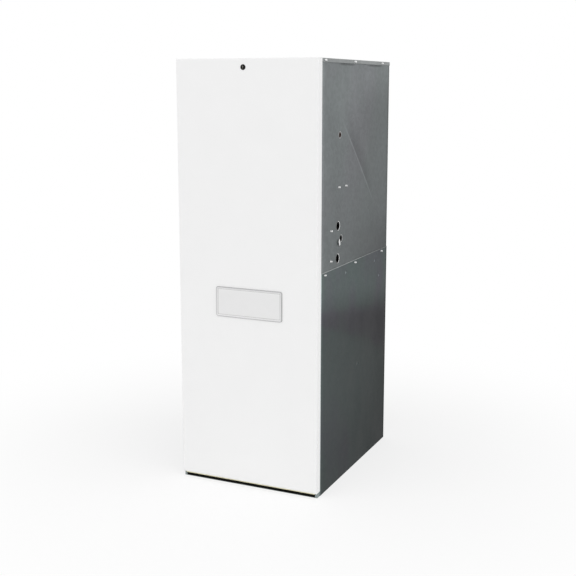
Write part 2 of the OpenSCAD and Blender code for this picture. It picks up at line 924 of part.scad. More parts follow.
// Path of one element's wire: down the near tail, out along one coil, across and back along the other
function coil_ease(a) = a < 90 ? a * a / 180 : a - 45;
function coil_turned(a, end) = a > end - 90 ? end - 90 - coil_ease(end - a) : coil_ease(a);
function coil_out(x) = concat([[x + coil_r, coil_y, heater_z + coil_spread + coil_tail]],
    [for (i = [0 : turns * coil_steps]) let (a = i * 360 / coil_steps)
        [x + coil_r * cos(a), coil_y + coil_pitch / 360 * coil_turned(a, turns * 360),
        heater_z + coil_spread - coil_r * sin(a)]]);
function mirrored(path) = [for (i = [len(path) - 1 : -1 : 0])
    [path[i][0], path[i][1], 2 * heater_z - path[i][2]]];
function coil_path(x) = concat(coil_out(x), mirrored(coil_out(x)));

// Least gap between an element's wire and itself, between points half a turn or more apart
coil_gap = let (p = coil_path(0), half = coil_steps / 2, n = len(p))
    min([for (i = [0 : n - 1 - half]) each [for (j = [i + half : n - 1]) norm(p[i] - p[j])]]) - 2 * wire_r;
echo(coil_gap = coil_gap);
assert(coil_gap > 0.4, "the coil's turns touch");

// A round wire along a path that never runs along Y
function heading(p, i) = let (d = p[min(i + 1, len(p) - 1)] - p[max(i - 1, 0)]) d / norm(d);
function wire_ring(p, i, r) = let (t = heading(p, i), n = cross(t, [0, 1, 0]) / norm(cross(t, [0, 1, 0])),
    b = cross(t, n)) [for (k = [0 : tube_sides - 1]) let (a = k * 360 / tube_sides)
        p[i] + r * (cos(a) * n + sin(a) * b)];
module wire(path, r) {
    n = len(path);
    s = tube_sides;
    points = [for (i = [0 : n - 1]) each wire_ring(path, i, r)];
    walls = [for (i = [0 : n - 2], k = [0 : s - 1]) let (a = i * s + k, b = i * s + (k + 1) % s)
        each [[a, a + s, b], [b, a + s, b + s]]];
    start = [for (k = [1 : s - 2]) [0, k, k + 1]];
    end = [for (k = [1 : s - 2]) let (e = (n - 1) * s) [e, e + k + 1, e + k]];
    polyhedron(points, concat(walls, start, end));
}

module heater_coil(i) {
    color("#6d5f55") wire(coil_path(element_xs[i]), wire_r);
}

module heater_coil_1() {
    heater_coil(0);
}

module heater_coil_2() {
    heater_coil(1);
}

module heater_coil_3() {
    heater_coil(2);
}

function post_zs() = [heater_z + coil_spread + coil_tail, heater_z - coil_spread - coil_tail - post];

module heater_rack(i) {
    x = element_xs[i];
    color("#9ea3a3") difference() {
        union() {
            block([x - element_w / 2, plate_front, heater_z - element_h / 2],
                [x + element_w / 2, ctl_back - sheet, heater_z + element_h / 2]);
            for (s = [-1, 1]) bar_y(x + rod_x, plate_front, coil_end, heater_z + s * rod_z, rod_r);
        }
        for (z = post_zs()) bar_y(x + coil_r, plate_front - 1, ctl_back + 1, z + post / 2, bush_r);
    }
}

module heater_rack_1() {
    heater_rack(0);
}

module heater_rack_2() {
    heater_rack(1);
}

module heater_rack_3() {
    heater_rack(2);
}

// Mica cards that carry the coils, and ceramic bushes round the terminals
module heater_cards() {
    hole = coil_r + wire_r + play;
    color("#e6dfcc") for (x = element_xs) {
        for (y = card_ys) translate([x, 0, heater_z]) difference() {
            along_y(y - card_t / 2, y + card_t / 2)
                round_rect(card_w, 2 * (coil_spread + card_margin), 4);
            for (s = [-1, 1]) {
                bar_y(0, y - 5, y + 5, s * coil_spread, hole);
                bar_y(rod_x, y - 5, y + 5, s * rod_z, rod_r + run);
            }
        }
        for (z = post_zs()) translate([x + coil_r, 0, z + post / 2]) difference() {
            union() {
                bar_y(0, plate_front - 8, ctl_back + 8, 0, bush_r);
                bar_y(0, plate_front - 8, plate_front, 0, bush_r + 2);
            }
            bar_y(0, plate_front - 9, ctl_back + 9, 0, post_r + run);
        }
    }
}

module heater_terminals() {
    color("#c2a14a") for (x = element_xs, z = post_zs()) {
        bar_y(x + coil_r, plate_front - spade_l, coil_y, z + post / 2, post_r);
        block([x + coil_r - post / 2, coil_y - post / 2, z],
            [x + coil_r + post / 2, coil_y + post / 2, z + post]);
    }
}

module limit_switches() {
    color("#2a2320") for (x = element_xs) {
        bar_y(x - 4, plate_front - 12, plate_front, heater_z, 9);
        for (s = [-1, 1]) block([x - 4 - 0.5, plate_front - spade_l, heater_z + s * 5 - 3],
            [x - 4 + 0.5, plate_front - 12, heater_z + s * 5 + 3]);
    }
}

module breaker_bracket() {
    x = half_w - sheet;
    color(GALV) difference() {
        union() {
            block([bracket_x, bracket_y, ctl_floor_z], [x, bracket_y + sheet, bracket_top]);
            block([x - sheet, bracket_y - bracket_d, ctl_floor_z], [x, bracket_y + sheet, bracket_top]);
        }
        for (p = bracket_screws) bar_x(x - 5, x + 5, door_y + p[0], p[1], screw_hole);
    }
}

// Two pole breaker whose raised nose holds the toggle's pin
module breaker(x) {
    slot_w = toggle_w + 2 * play;
    slot_h = nose_h - 12;
    color(BLACK) difference() {
        union() {
            block([x - breaker_w / 2, breaker_front, breaker_z],
                [x + breaker_w / 2, bracket_y, breaker_z + breaker_h]);
            block([x - nose_w / 2, breaker_front - nose_t, toggle_z - nose_h / 2],
                [x + nose_w / 2, breaker_front, toggle_z + nose_h / 2]);
        }
        block([x - slot_w / 2, breaker_front - nose_t - 1, toggle_z - slot_h / 2],
            [x + slot_w / 2, breaker_front + 8, toggle_z + slot_h / 2]);
        bar_x(x - slot_w / 2 - 4, x + slot_w / 2 + 4, toggle_y, toggle_z, 2 + run);
        for (s = [-1, 1]) translate([x + s * breaker_w / 4, breaker_front - 1, breaker_z + 8])
            rotate([-90, 0, 0]) cylinder(h = 6, r = 4);
    }
}

module breaker_1() {
    breaker(breaker_xs[0]);
}

module breaker_2() {
    breaker(breaker_xs[1]);
}

// Handle tied across both poles, stored up, where the breaker is on
module toggle(x) {
    reach = 16;
    color("#e8e8e4") translate([x, toggle_y, toggle_z]) union() {
        bar_x(-toggle_w / 2, toggle_w / 2, 0, 0, toggle_pin_r);
        bar_x(-toggle_w / 2 - 3.5, toggle_w / 2 + 3.5, 0, 0, 2);
        along_x(-toggle_w / 2, toggle_w / 2) rotate([0, 0, -toggle_swing])
            polygon([[0, -3.5], [-reach, -2.5], [-reach, 2.5], [0, 3.5]]);
    }
}

module breaker_toggle_1() {
    toggle(breaker_xs[0]);
}

module breaker_toggle_2() {
    toggle(breaker_xs[1]);
}

module transformer() {
    color("#3b3f42") translate([core_x, core_y, ctl_floor_z]) union() {
        block([-core_w / 2 - foot_t, -core_d / 2 - foot_rim, 0],
            [core_w / 2 + foot_t, core_d / 2 + foot_rim, foot_t]);
        block([-core_w / 2, -core_d / 2, foot_t], [core_w / 2, core_d / 2, core_h]);
    }
    color("#c98a2b") translate([core_x, core_y, ctl_floor_z + (core_h + foot_t) / 2])
        for (s = [-1, 1]) translate([0, s * (core_d + winding_out) / 2, 0])
            cube([winding_w, winding_out, winding_h], center = true);
}

// Two heat relays on the control wall, one above the other, each with three blades
module sequencers() {
    relay = [35, 38, 50];
    gap = 20;
    y = ctl_back - sheet - relay[1];
    color("#23272b") for (i = [0, 1]) translate([stud_x, y, ctl_floor_z + 94 + i * (relay[2] + gap)]) {
        cube(relay);
        for (k = [0 : 2]) translate([-3, 8 + k * 10, 10]) cube([3, 4, 8]);
    }
}

module terminal_strip() {
    step = strip_w / strip_posts;
    color("#d9d6c8") difference() {
        translate([strip_x, cover_y - strip_d, strip_z]) cube([strip_w, strip_d, strip_h]);
        for (i = [0 : strip_posts - 1])
            bar_y(strip_x + step * (i + 0.5), cover_y - strip_d - 1, cover_y - strip_d + 3,
                strip_z + strip_h / 2, 3.5);
    }
}

module filter_rack() {
    color(GALV) translate([0, rack_y, 0]) difference() {
        union() {
            translate([0, 0, ledge_z]) linear_extrude(rack_h)
                square([rack_w + 2 * sheet, rack_d + 2 * sheet], center = true);
        }
        translate([0, 0, ledge_z + sheet]) linear_extrude(rack_h) square([rack_w, rack_d], center = true);
        translate([0, 0, ledge_z - 1]) linear_extrude(rack_h)
            square([rack_w - 2 * ledge_w, rack_d - 2 * ledge_w], center = true);
    }
}

module filter_frame() {
    color("#b98f5a") translate([0, rack_y, ledge_z + sheet]) linear_extrude(filter_t) difference() {
        square([filter_w, filter_d], center = true);
        square([filter_w - 2 * filter_rim, filter_d - 2 * filter_rim], center = true);
    }
}

// Pleated filter medium: a folded sheet carried across the frame
module filter_media() {
    folds = 24;
    w = filter_w - 2 * filter_rim;
    d = filter_d - 2 * filter_rim;
    h = filter_t - 6;
    thick = 3;
    step = d / folds;
    top = [for (i = [0 : folds]) [i * step - d / 2, i % 2 == 0 ? thick : h]];
    under = [for (i = [folds : -1 : 0]) [i * step - d / 2, i % 2 == 0 ? 0 : h - thick]];
    color("#dfe6ea") translate([0, rack_y, ledge_z + sheet + 3]) along_x(-w / 2, w / 2)
        polygon(concat(top, under));
}

module side_screws() {
    color("#a8aeb0") both_sides() {
        for (u = top_screws_u)
            translate([skin, door_y + u, cab_h - top_flange / 2]) rotate([0, 90, 0]) screw(head_t);
        for (u = seam_screws_u) translate([skin, door_y + u, seam_screw_z]) rotate([0, 90, 0]) screw(head_t);
    }
    color("#a8aeb0") {
        both_sides() panel_screws(deck_screws);
        panel_screws(bracket_screws);
    }
}

module panel_screws(places) {
    for (p = places) translate([half_w + rise(door_y + p[0], p[1]) + run, door_y + p[0], p[1]])
        rotate([0, 90, 0]) screw(head_t);
}

module back_screws() {
    color("#a8aeb0") {
        for (s = [-1, 1], z = back_screws_z)
            translate([s * back_screws_x, z < seam_h ? back_y + sheet : back_y, z])
                rotate([-90, 0, 0]) screw(back_head_t);
        for (x = [-1, 0, 1]) translate([x * back_screws_x / 2, back_y + sheet, seam_screw_z])
            rotate([-90, 0, 0]) screw(back_head_t);
    }
}

// Outline across the door, front side rounded, at distance `in` inside its skin
module door_across(in) {
    w = 2 * (skin - in);
    r = door_bend - in;
    translate([-w / 2, door_y + door_bend]) square([w, door_d - in - door_bend]);
    translate([-w / 2 + r, door_y + in]) square([w - 2 * r, r + 1]);
    for (s = [-1, 1]) translate([s * (w / 2 - r), door_y + door_bend]) circle(r = r);
}

// Outline up the door, front side rounded
module door_up(in) {
    low = door_bottom + in;
    high = door_top - in;
    r = door_bend - in;
    translate([door_y + door_bend, low]) square([door_d - in - door_bend, high - low]);
    translate([door_y + in, low + r]) square([r + 1, high - low - 2 * r]);
    for (z = [low + r, high - r]) translate([door_y + door_bend, z]) circle(r = r);
}

module door_form(in) {
    intersection() {
        translate([0, 0, door_bottom]) linear_extrude(door_top - door_bottom) door_across(in);
        along_x(-skin, skin) door_up(in);
    }
}

module door_panel() {
    color(WHITE) difference() {
        door_form(0);
        door_form(sheet);
        block([door_hem + sheet - skin, front_y - 5, door_bottom + sheet + door_hem],
            [skin - sheet - door_hem, front_y + 5, door_top - sheet - door_hem]);
        bar_y(latch_x, door_y - 5, door_y + 5, latch_z, stud_r + 2);
    }
}

module door_liner() {
    x = skin - sheet - door_bend;
    y = door_y + sheet;
    color(FOIL) difference() {
        block([-x, y, door_bottom + sheet + door_bend], [x, y + door_liner_t, door_top - sheet - door_bend]);
        bar_y(latch_x, y - 1, y + door_liner_t + 1, latch_z, grommet_r + 4);
    }
}

// Two tongues behind the lower hem, which enter slots in the base rail
module door_tongues() {
    t = 1.5;
    y = front_y - sheet;
    color("#b0b4b6") for (s = [-1, 1]) translate([s * tongue_x, 0, 0]) {
        block([-tongue_w / 2, y - t, door_bottom + sheet], [tongue_w / 2, y, tongue_z + t]);
        block([-tongue_w / 2, y - t, tongue_z], [tongue_w / 2, rail_y + sheet + 12, tongue_z + t]);
    }
}

module nameplate_frame() {
    color("#9a9c9e") translate([plate_x, 0, plate_z]) along_y(door_y - plate_t, door_y) difference() {
        round_rect(plate_w, plate_h, plate_r);
        round_rect(plate_w - 2 * plate_rim, plate_h - 2 * plate_rim, plate_r - plate_rim);
    }
}

module nameplate_face() {
    color("#e6e6e6") translate([plate_x, 0, plate_z]) along_y(door_y - plate_t + 1, door_y)
        round_rect(plate_w - 2 * plate_rim, plate_h - 2 * plate_rim, plate_r - plate_rim);
}

module latch_grommet() {
    color(BLACK) difference() {
        union() {
            bar_y(latch_x, door_y - grommet_t, door_y, latch_z, grommet_r);
            bar_y(latch_x, door_y - grommet_t, door_y + 5, latch_z, stud_r + 2);
        }
        bar_y(latch_x, door_y - grommet_t - 1, door_y + 6, latch_z, stud_r + run);
    }
}

// Slotted quarter turn stud with a wing that turns behind the strike
module latch_stud() {
    head_y = door_y - plate_t + 0.1;
    color("#7d7f80") difference() {
        union() {
            bar_y(latch_x, head_y, door_y - grommet_t, latch_z, latch_head_r);
            bar_y(latch_x, head_y, wing_y + wing_t, latch_z, stud_r);
            translate([latch_x, 0, latch_z]) along_y(wing_y, wing_y + wing_t)
                square([wing_w, wing_l], center = true);
        }
        block([latch_x - 0.8, head_y - 1, latch_z - 10], [latch_x + 0.8, head_y + 1, latch_z + 10]);
    }
}

base_pan();
kick_strip();
kick_seal();
base_rail();
side_lower_right();
side_lower_left();
side_upper_right();
side_upper_left();
back_lower();
back_upper();
top_cover();
front_top_rail();
front_mid_rail();
lower_liner();
upper_liner();
coil_rails();
blower_deck();
control_floor();
control_wall();
control_cover();
blower_housing();
blower_wheel();
wheel_hub();
motor_shaft();
blower_motor();
motor_mount();
run_capacitor();
capacitor_strap();
heater_rack_1();
heater_rack_2();
heater_rack_3();
heater_coil_1();
heater_coil_2();
heater_coil_3();
heater_cards();
heater_terminals();
limit_switches();
breaker_bracket();
breaker_1();
breaker_2();
breaker_toggle_1();
breaker_toggle_2();
transformer();
sequencers();
terminal_strip();
thermostat_grommet();
knockout_slug();
filter_rack();
filter_frame();
filter_media();
side_screws();
back_screws();
door_panel();
door_liner();
door_tongues();
nameplate_frame();
nameplate_face();
latch_grommet();
latch_stud();
latch_strike();
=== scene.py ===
from math import pi, radians

import bmesh
import bpy
import numpy as np
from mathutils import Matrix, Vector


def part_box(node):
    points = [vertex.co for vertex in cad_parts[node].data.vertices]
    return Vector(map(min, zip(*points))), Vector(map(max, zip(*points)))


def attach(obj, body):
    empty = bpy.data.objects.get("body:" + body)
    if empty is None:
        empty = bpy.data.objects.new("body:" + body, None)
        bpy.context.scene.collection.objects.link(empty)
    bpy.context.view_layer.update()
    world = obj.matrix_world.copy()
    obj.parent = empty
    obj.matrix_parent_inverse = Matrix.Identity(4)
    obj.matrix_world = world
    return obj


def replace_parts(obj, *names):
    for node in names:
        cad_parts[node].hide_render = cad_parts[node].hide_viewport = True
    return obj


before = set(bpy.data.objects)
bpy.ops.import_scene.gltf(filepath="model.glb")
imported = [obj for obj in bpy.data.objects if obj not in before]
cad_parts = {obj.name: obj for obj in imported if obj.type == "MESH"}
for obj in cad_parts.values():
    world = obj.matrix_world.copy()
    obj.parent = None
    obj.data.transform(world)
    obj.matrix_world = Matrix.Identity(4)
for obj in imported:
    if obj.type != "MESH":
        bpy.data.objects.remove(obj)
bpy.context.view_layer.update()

# Camera. It stands to the right of the door, nearly as high as the cabinet, and looks a little down.
# Its slight shift keeps the upright edges nearly upright, as they are in the photograph.
looks_down, looks_left = 10.11, 24.63


def placed(name, data):
    """An object with this data, in the scene."""
    made = bpy.data.objects.new(name, data)
    bpy.context.scene.collection.objects.link(made)
    return made


camera = placed("camera", bpy.data.cameras.new("camera"))
bpy.context.scene.camera = camera
camera.data.sensor_width = 36
camera.data.lens = 62.86
camera.data.shift_y = -0.0382
camera.data.clip_start = 0.05
camera.location = (1.4643, -3.1995, 1.3335)
camera.rotation_euler = (radians(90 - looks_down), 0, radians(looks_left))
bpy.context.scene.view_settings.view_transform = "Standard"

# Floor and light. A wide pale floor that keeps a soft shadow of the cabinet and fades into a white surround,
# with one wide soft lamp in front on the left and a wider one on the right.
floor_size = 60
floor_white = 0.93
fade_start, fade_end, fade_least = 0.5, 1.7, 0.72
room_light = 0.62
key_strength, fill_strength = 0.76, 0.97


def worked(tree, operation, *terms):
    """One Math node on its terms, each a socket or a number."""
    node = tree.nodes.new("ShaderNodeMath")
    node.operation = operation
    for socket, term in zip(node.inputs, terms):
        if isinstance(term, bpy.types.NodeSocket):
            tree.links.new(term, socket)
        else:
            socket.default_value = term
    return node.outputs[0]


def measured(tree, operation, place, other=(0, 0, 0)):
    """What one Vector Math node gives for a place, or for it and another vector."""
    node = tree.nodes.new("ShaderNodeVectorMath")
    node.operation = operation
    node.inputs[1].default_value = other
    tree.links.new(place, node.inputs[0])
    return node.outputs["Value"]


def mapped(tree, kind, value, *ends):
    """value mapped from the first two ends to the other two."""
    node = tree.nodes.new("ShaderNodeMapRange")
    node.interpolation_type = kind
    for socket, number in zip(("From Min", "From Max", "To Min", "To Max"), ends):
        node.inputs[socket].default_value = number
    tree.links.new(value, node.inputs["Value"])
    return node.outputs["Result"]


def eased(tree, value, start, end, low=0.0, high=1.0):
    """low where value is at start and high where it is at end, along a smooth step between."""
    return mapped(tree, "SMOOTHSTEP", value, start, end, low, high)


def seen_or_mirrored(tree):
    """1 where the ray comes from the camera, a mirror or glass, else 0: the largest of Light Path's three flags."""
    path = tree.nodes.new("ShaderNodeLightPath")
    either = worked(tree, "MAXIMUM", path.outputs["Is Camera Ray"], path.outputs["Is Glossy Ray"])
    return worked(tree, "MAXIMUM", either, path.outputs["Is Transmission Ray"])


def pale_floor():
    """White diffuse floor, seen partly as plain white light near the cabinet, and wholly so further off."""
    material = bpy.data.materials.new("pale_floor")
    material.use_nodes = True
    tree = material.node_tree
    tree.nodes.clear()
    out = tree.nodes.new("ShaderNodeOutputMaterial")
    matt = tree.nodes.new("ShaderNodeBsdfDiffuse")
    matt.inputs["Color"].default_value = (floor_white, floor_white, floor_white, 1)
    glow = tree.nodes.new("ShaderNodeEmission")
    glow.inputs["Color"].default_value = (1, 1, 1, 1)
    distance = measured(tree, "LENGTH", tree.nodes.new("ShaderNodeTexCoord").outputs["Object"])
    fade = eased(tree, distance, fade_start, fade_end, fade_least)
    mix = tree.nodes.new("ShaderNodeMixShader")
    tree.links.new(worked(tree, "MULTIPLY", fade, seen_or_mirrored(tree)), mix.inputs[0])
    tree.links.new(matt.outputs[0], mix.inputs[1])
    tree.links.new(glow.outputs[0], mix.inputs[2])
    tree.links.new(mix.outputs[0], out.inputs["Surface"])
    return material


def white_room():
    """World whose light on the object is even and soft, and which is seen as plain white."""
    world = bpy.data.worlds.new("white_room")
    world.use_nodes = True
    tree = world.node_tree
    tree.nodes.clear()
    out = tree.nodes.new("ShaderNodeOutputWorld")
    even, white = tree.nodes.new("ShaderNodeBackground"), tree.nodes.new("ShaderNodeBackground")
    for light, strength in ((even, room_light), (white, 1.0)):
        light.inputs["Color"].default_value = (1, 1, 1, 1)
        light.inputs["Strength"].default_value = strength
    mix = tree.nodes.new("ShaderNodeMixShader")
    tree.links.new(seen_or_mirrored(tree), mix.inputs[0])
    tree.links.new(even.outputs[0], mix.inputs[1])
    tree.links.new(white.outputs[0], mix.inputs[2])
    tree.links.new(mix.outputs[0], out.inputs["Surface"])
    return world


def soft_sun(name, strength, width, high, turned):
    """A lamp so wide that its shadows are soft. Its width, height and turn to the right of the door are in degrees."""
    lamp = placed(name, bpy.data.lights.new(name, "SUN"))
    lamp.data.energy = strength
    lamp.data.angle = radians(width)
    lamp.rotation_euler = (radians(90 - high), 0, radians(turned))


bpy.context.scene.world = white_room()
soft_sun("key_lamp", key_strength, width=60, high=38, turned=-28)
soft_sun("fill_lamp", fill_strength, width=80, high=30, turned=72)
floor_mesh = bpy.data.meshes.new("floor")
half = floor_size / 2
floor_mesh.from_pydata([(-half, -half, 0), (half, -half, 0), (half, half, 0), (-half, half, 0)], [], [(0, 1, 2, 3)])
floor = placed("floor", floor_mesh)
floor_mesh.materials.append(pale_floor())

# Base. A shallow pan of dark zinc coated sheet with the supply air opening in it, a kick strip between its front
# corners, painted black as a painted shadow under the door, and a strip of pale foam that seals the foot of the door.
mm = 0.001
front, back, half_width, seam = -300 * mm, 330 * mm, 250 * mm, 747 * mm
base_tint = (0.068, 0.078, 0.078)
kick_shadow_black = (0.006, 0.006, 0.005)
foam_yellow = (0.80, 0.76, 0.52)


def plain_finish(name, colour, metallic, roughness, specular=0.5):
    """A Principled material with even values on its shader's own sockets, its tree, its shader and its coordinates."""
    material = bpy.data.materials.new(name)
    material.use_nodes = True
    tree = material.node_tree
    shader = tree.nodes["Principled BSDF"]
    shader.inputs["Base Color"].default_value = (*colour, 1)
    shader.inputs["Metallic"].default_value = metallic
    shader.inputs["Roughness"].default_value = roughness
    shader.inputs["Specular IOR Level"].default_value = specular
    return material, tree, shader, tree.nodes.new("ShaderNodeTexCoord").outputs["Object"]


def product(tree, share, *others):
    """A share times each of the others in turn."""
    for other in others:
        share = worked(tree, "MULTIPLY", share, other)
    return share


def less(tree, share):
    """What is left of 1 without a share."""
    return worked(tree, "SUBTRACT", 1.0, share)


def noise(tree, place, scale, detail=3.0, rough=0.5):
    """Noise of so many waves a metre, between 0 and 1."""
    texture = tree.nodes.new("ShaderNodeTexNoise")
    texture.inputs["Scale"].default_value = scale
    texture.inputs["Detail"].default_value = detail
    texture.inputs["Roughness"].default_value = rough
    tree.links.new(place, texture.inputs["Vector"])
    return texture.outputs["Fac"]


def between(tree, value, low, high, ends=(0.25, 0.75)):
    """value between the two ends, spread from low to high: two numbers, or two colours."""
    if np.isscalar(low):
        return mapped(tree, "LINEAR", value, *ends, low, high)
    ramp = tree.nodes.new("ShaderNodeValToRGB")
    for element, end, colour in zip(ramp.color_ramp.elements, ends, (low, high)):
        element.position = end
        element.color = (*np.clip(colour, 0, 1), 1)
    tree.links.new(value, ramp.inputs["Fac"])
    return ramp.outputs["Color"]


def times(tree, colour, share):
    """A colour times a grey share of it."""
    mix = tree.nodes.new("ShaderNodeMix")
    mix.data_type = "RGBA"
    mix.blend_type = "MULTIPLY"
    mix.inputs["Factor"].default_value = 1.0
    tree.links.new(colour, mix.inputs[6])
    tree.links.new(share, mix.inputs[7])
    return mix.outputs[2]


def raised(tree, shader, height, depth, strength=1.0):
    """height between 0 and 1 as a bump of that depth in metres, on top of any bump that is there."""
    bump = tree.nodes.new("ShaderNodeBump")
    bump.inputs["Distance"].default_value = depth
    bump.inputs["Strength"].default_value = strength
    tree.links.new(height, bump.inputs["Height"])
    if shader.inputs["Normal"].links:
        tree.links.new(shader.inputs["Normal"].links[0].from_socket, bump.inputs["Normal"])
    tree.links.new(bump.outputs["Normal"], shader.inputs["Normal"])


def zinc_sheet(name, tint, spangle=0.011, contrast=0.07, warmer=None, kept=None, warmed=None):
    """Zinc coated sheet: crystal cells of one spangle, each a little lighter or darker, long soft stains from two slow
    noises, one of which turns the tint towards a warmer one, and the slight waviness of rolled sheet in its bump. kept
    gives the share of its brightness that the sheet keeps at each place, and warmed adds to how warm it is there."""
    material, tree, shader, place = plain_finish(name, tint, metallic=0.4, roughness=0.48, specular=0.15)
    shader.inputs["Specular Tint"].default_value = (0.5, 0.5, 0.5, 1)
    cells = tree.nodes.new("ShaderNodeTexVoronoi")
    cells.inputs["Scale"].default_value = 1 / spangle
    tree.links.new(place, cells.inputs["Vector"])
    grey = tree.nodes.new("ShaderNodeRGBToBW")
    tree.links.new(cells.outputs["Color"], grey.inputs[0])
    stretch = tree.nodes.new("ShaderNodeMapping")
    stretch.inputs["Scale"].default_value = (1, 1, 0.45)
    tree.links.new(place, stretch.inputs["Vector"])
    stains = noise(tree, stretch.outputs[0], 9, 5, 0.62)
    tint = np.array(tint)
    warmer = tint if warmer is None else np.array(warmer)
    warmth = noise(tree, stretch.outputs[0], 5, 2)
    if warmed is not None:
        warmth = worked(tree, "ADD", warmth, warmed(tree, place))
    colour = between(tree, warmth, tint, warmer, (0.4, 0.6))
    share = product(tree, between(tree, stains, 1 - contrast, 1 + contrast, (0.34, 0.66)),
                    between(tree, grey.outputs[0], 1 - contrast * 0.6, 1 + contrast * 0.6))
    if kept is not None:
        share = product(tree, share, kept(tree, place))
    tree.links.new(times(tree, colour, share), shader.inputs["Base Color"])
    tree.links.new(between(tree, stains, 0.38, 0.52), shader.inputs["Roughness"])
    raised(tree, shader, noise(tree, place, 3.5, 2), 0.004, 0.35)
    raised(tree, shader, grey.outputs[0], 0.00002, 0.4)
    return material


def mottled(name, colour, metallic, roughness, grain, depth, contrast=0.08, specular=0.5):
    """Paint, moulding or cast: an even colour with a slight slow variation, and a fine grain of so many waves a metre
    in its bump, depth metres deep."""
    material, tree, shader, place = plain_finish(name, colour, metallic, roughness, specular)
    slow = noise(tree, place, 9, 3)
    colour = np.array(colour)
    tree.links.new(between(tree, slow, colour * (1 - contrast), colour * (1 + contrast)), shader.inputs["Base Color"])
    tree.links.new(between(tree, slow, roughness * 0.88, min(1, roughness * 1.12)), shader.inputs["Roughness"])
    raised(tree, shader, noise(tree, place, grain, 2), depth)
    return material


def dress(material, *names):
    """These CAD nodes take one material."""
    for name in names:
        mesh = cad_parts[name].data
        mesh.materials.clear()
        mesh.materials.append(material)


def quads(grid, rows_round=False, columns_round=False, start=0):
    """Faces of a grid of vertices, four to a face. The last row or column joins the first where the grid goes round."""
    rows, columns = grid.shape[:2]
    i, j = np.meshgrid(np.arange(rows - (not rows_round)), np.arange(columns - (not columns_round)), indexing="ij")
    i, j, down, along = i.ravel(), j.ravel(), ((i + 1) % rows).ravel(), ((j + 1) % columns).ravel()
    corners = (i * columns + j, down * columns + j, down * columns + along, i * columns + along)
    return (start + np.stack(corners, 1)).tolist()


def piece(name, points, faces, body, material, cut=35, mark=None, marks=None):
    """A piece of these vertices and faces: vertices in one place are joined, its faces are turned outwards, smooth
    except along edges sharper than cut degrees, and it rides on its body. marks, one for each vertex, are kept as the
    attribute called mark for its material."""
    mesh = bpy.data.meshes.new(name)
    mesh.from_pydata(np.reshape(points, (-1, 3)).tolist(), [], faces)
    if mark:
        mesh.attributes.new(mark, "FLOAT", "POINT").data.foreach_set("value", np.ravel(marks).astype(np.float32))
    shape = bmesh.new()
    shape.from_mesh(mesh)
    bmesh.ops.remove_doubles(shape, verts=shape.verts, dist=1e-6)
    bmesh.ops.recalc_face_normals(shape, faces=shape.faces)
    shape.to_mesh(mesh)
    shape.free()
    mesh.shade_smooth()
    mesh.set_sharp_from_angle(angle=radians(cut))
    mesh.materials.append(material)
    made = placed(name, mesh)
    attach(made, body)
    return made


def carried(profile, path, reference):
    """Grid of vertices of a profile carried along a path: its two columns are laid along heading x reference, and along
    that side x heading."""
    heading = np.gradient(path, axis=0)
    heading /= np.linalg.norm(heading, axis=1)[:, None]
    side = np.cross(heading, reference)
    side /= np.linalg.norm(side, axis=1)[:, None]
    up = np.cross(side, heading)
    return path[:, None] + profile[None, :, :1] * side[:, None] + profile[None, :, 1:] * up[:, None]


def rod(points):
    """Faces of a grid whose rows go round, with one face to close each end."""
    rows, columns = points.shape[:2]
    ring = np.arange(columns)
    return quads(points, columns_round=True) + [ring.tolist(), (ring + (rows - 1) * columns).tolist()]


def oval(width, height, power=2.0, count=24):
    """Closed outline in which |x|^power + |y|^power stays the same: round at 2, and squarer above."""
    turn = np.arange(count) * 2 * pi / count
    across, up = np.cos(turn), np.sin(turn)
    return np.stack([np.sign(across) * np.abs(across) ** (2 / power) * width / 2,
                     np.sign(up) * np.abs(up) ** (2 / power) * height / 2], 1)


def side_and_height(tree, place):
    """Y and Z of a place."""
    parts = tree.nodes.new("ShaderNodeSeparateXYZ")
    tree.links.new(place, parts.inputs[0])
    return parts.outputs[1], parts.outputs[2]


def front_edge_highlight(tree, place):
    """Painted highlight: brighter where the sheet faces the door, within a little of the cabinet's front."""
    return eased(tree, side_and_height(tree, place)[0], front + 0.004, front + 0.002, 1.0, 4.0)


dark_zinc = zinc_sheet("dark_zinc", base_tint, kept=front_edge_highlight)
dress(dark_zinc, "base_pan")
# The kick strip's black is a painted shadow: the shade in the gap under the door.
dress(mottled("kick_shadow_black", kick_shadow_black, 0.0, 0.9, 500, 0.0001, specular=0.05), "kick_strip")
pale_foam = mottled("pale_foam", foam_yellow, 0.0, 0.9, 900, 0.0006, 0.12)
seal_low, seal_high = (np.array(corner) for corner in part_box("kick_seal"))
seal_span = np.linspace(seal_low[0], seal_high[0], 60)
seal_path = np.stack([seal_span, seal_span * 0 + (seal_low[1] + seal_high[1]) / 2,
                      (seal_low[2] + seal_high[2]) / 2 + 0.1 * mm * np.sin(seal_span * 90)], 1)
seal_section = oval(seal_high[1] - seal_low[1], seal_high[2] - seal_low[2] - 0.2 * mm, 5, 28)
foam_points = carried(seal_section, seal_path, (0, 0, 1))
foam_strip = piece("foam_strip", foam_points, rod(foam_points), "cabinet", pale_foam, 60)
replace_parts(foam_strip, "kick_seal")

# Lower cabinet. Side and back panels of the same sheet, darker than those above as painted shade, with foil faced
# insulation inside and two angle rails for a cooling coil. The top edge of each side panel is rolled, and carries a
# painted highlight.
foil_grey = (0.62, 0.63, 0.64)
scrim_step, wave_radians = 0.0125, 20  # the wave texture goes through so many radians a metre at scale 1
wool_step, pressed_edge, pin_gaps, dimple_r = 9, 26, (260, 300), 18
liner_front, side_wool, back_wool = -278, 11.6, 11.8
# The lower panels' darker tint is painted shade.
lower_tint, lower_warm = (0.060, 0.076, 0.075), (0.064, 0.064, 0.076)
# Dents in the right lower panel. Each is brightened towards its middle as a painted highlight.
dents = np.array(((251, -85, 716), (251, 201, 712), (251, 249, 650), (251, 37, 368))) * mm
dent_size, dent_depth, dent_highlight = 9 * mm, 3 * mm, 2.5
# The slanted dark band is a painted reflection: painted shade, also turned a little warmer.
band_z, band_slant, band_half, band_widening = 0.60, 0.17, 0.025, 0.065
band_shade, band_warmth = (0.27, 0.07), (0.25, 0.12)
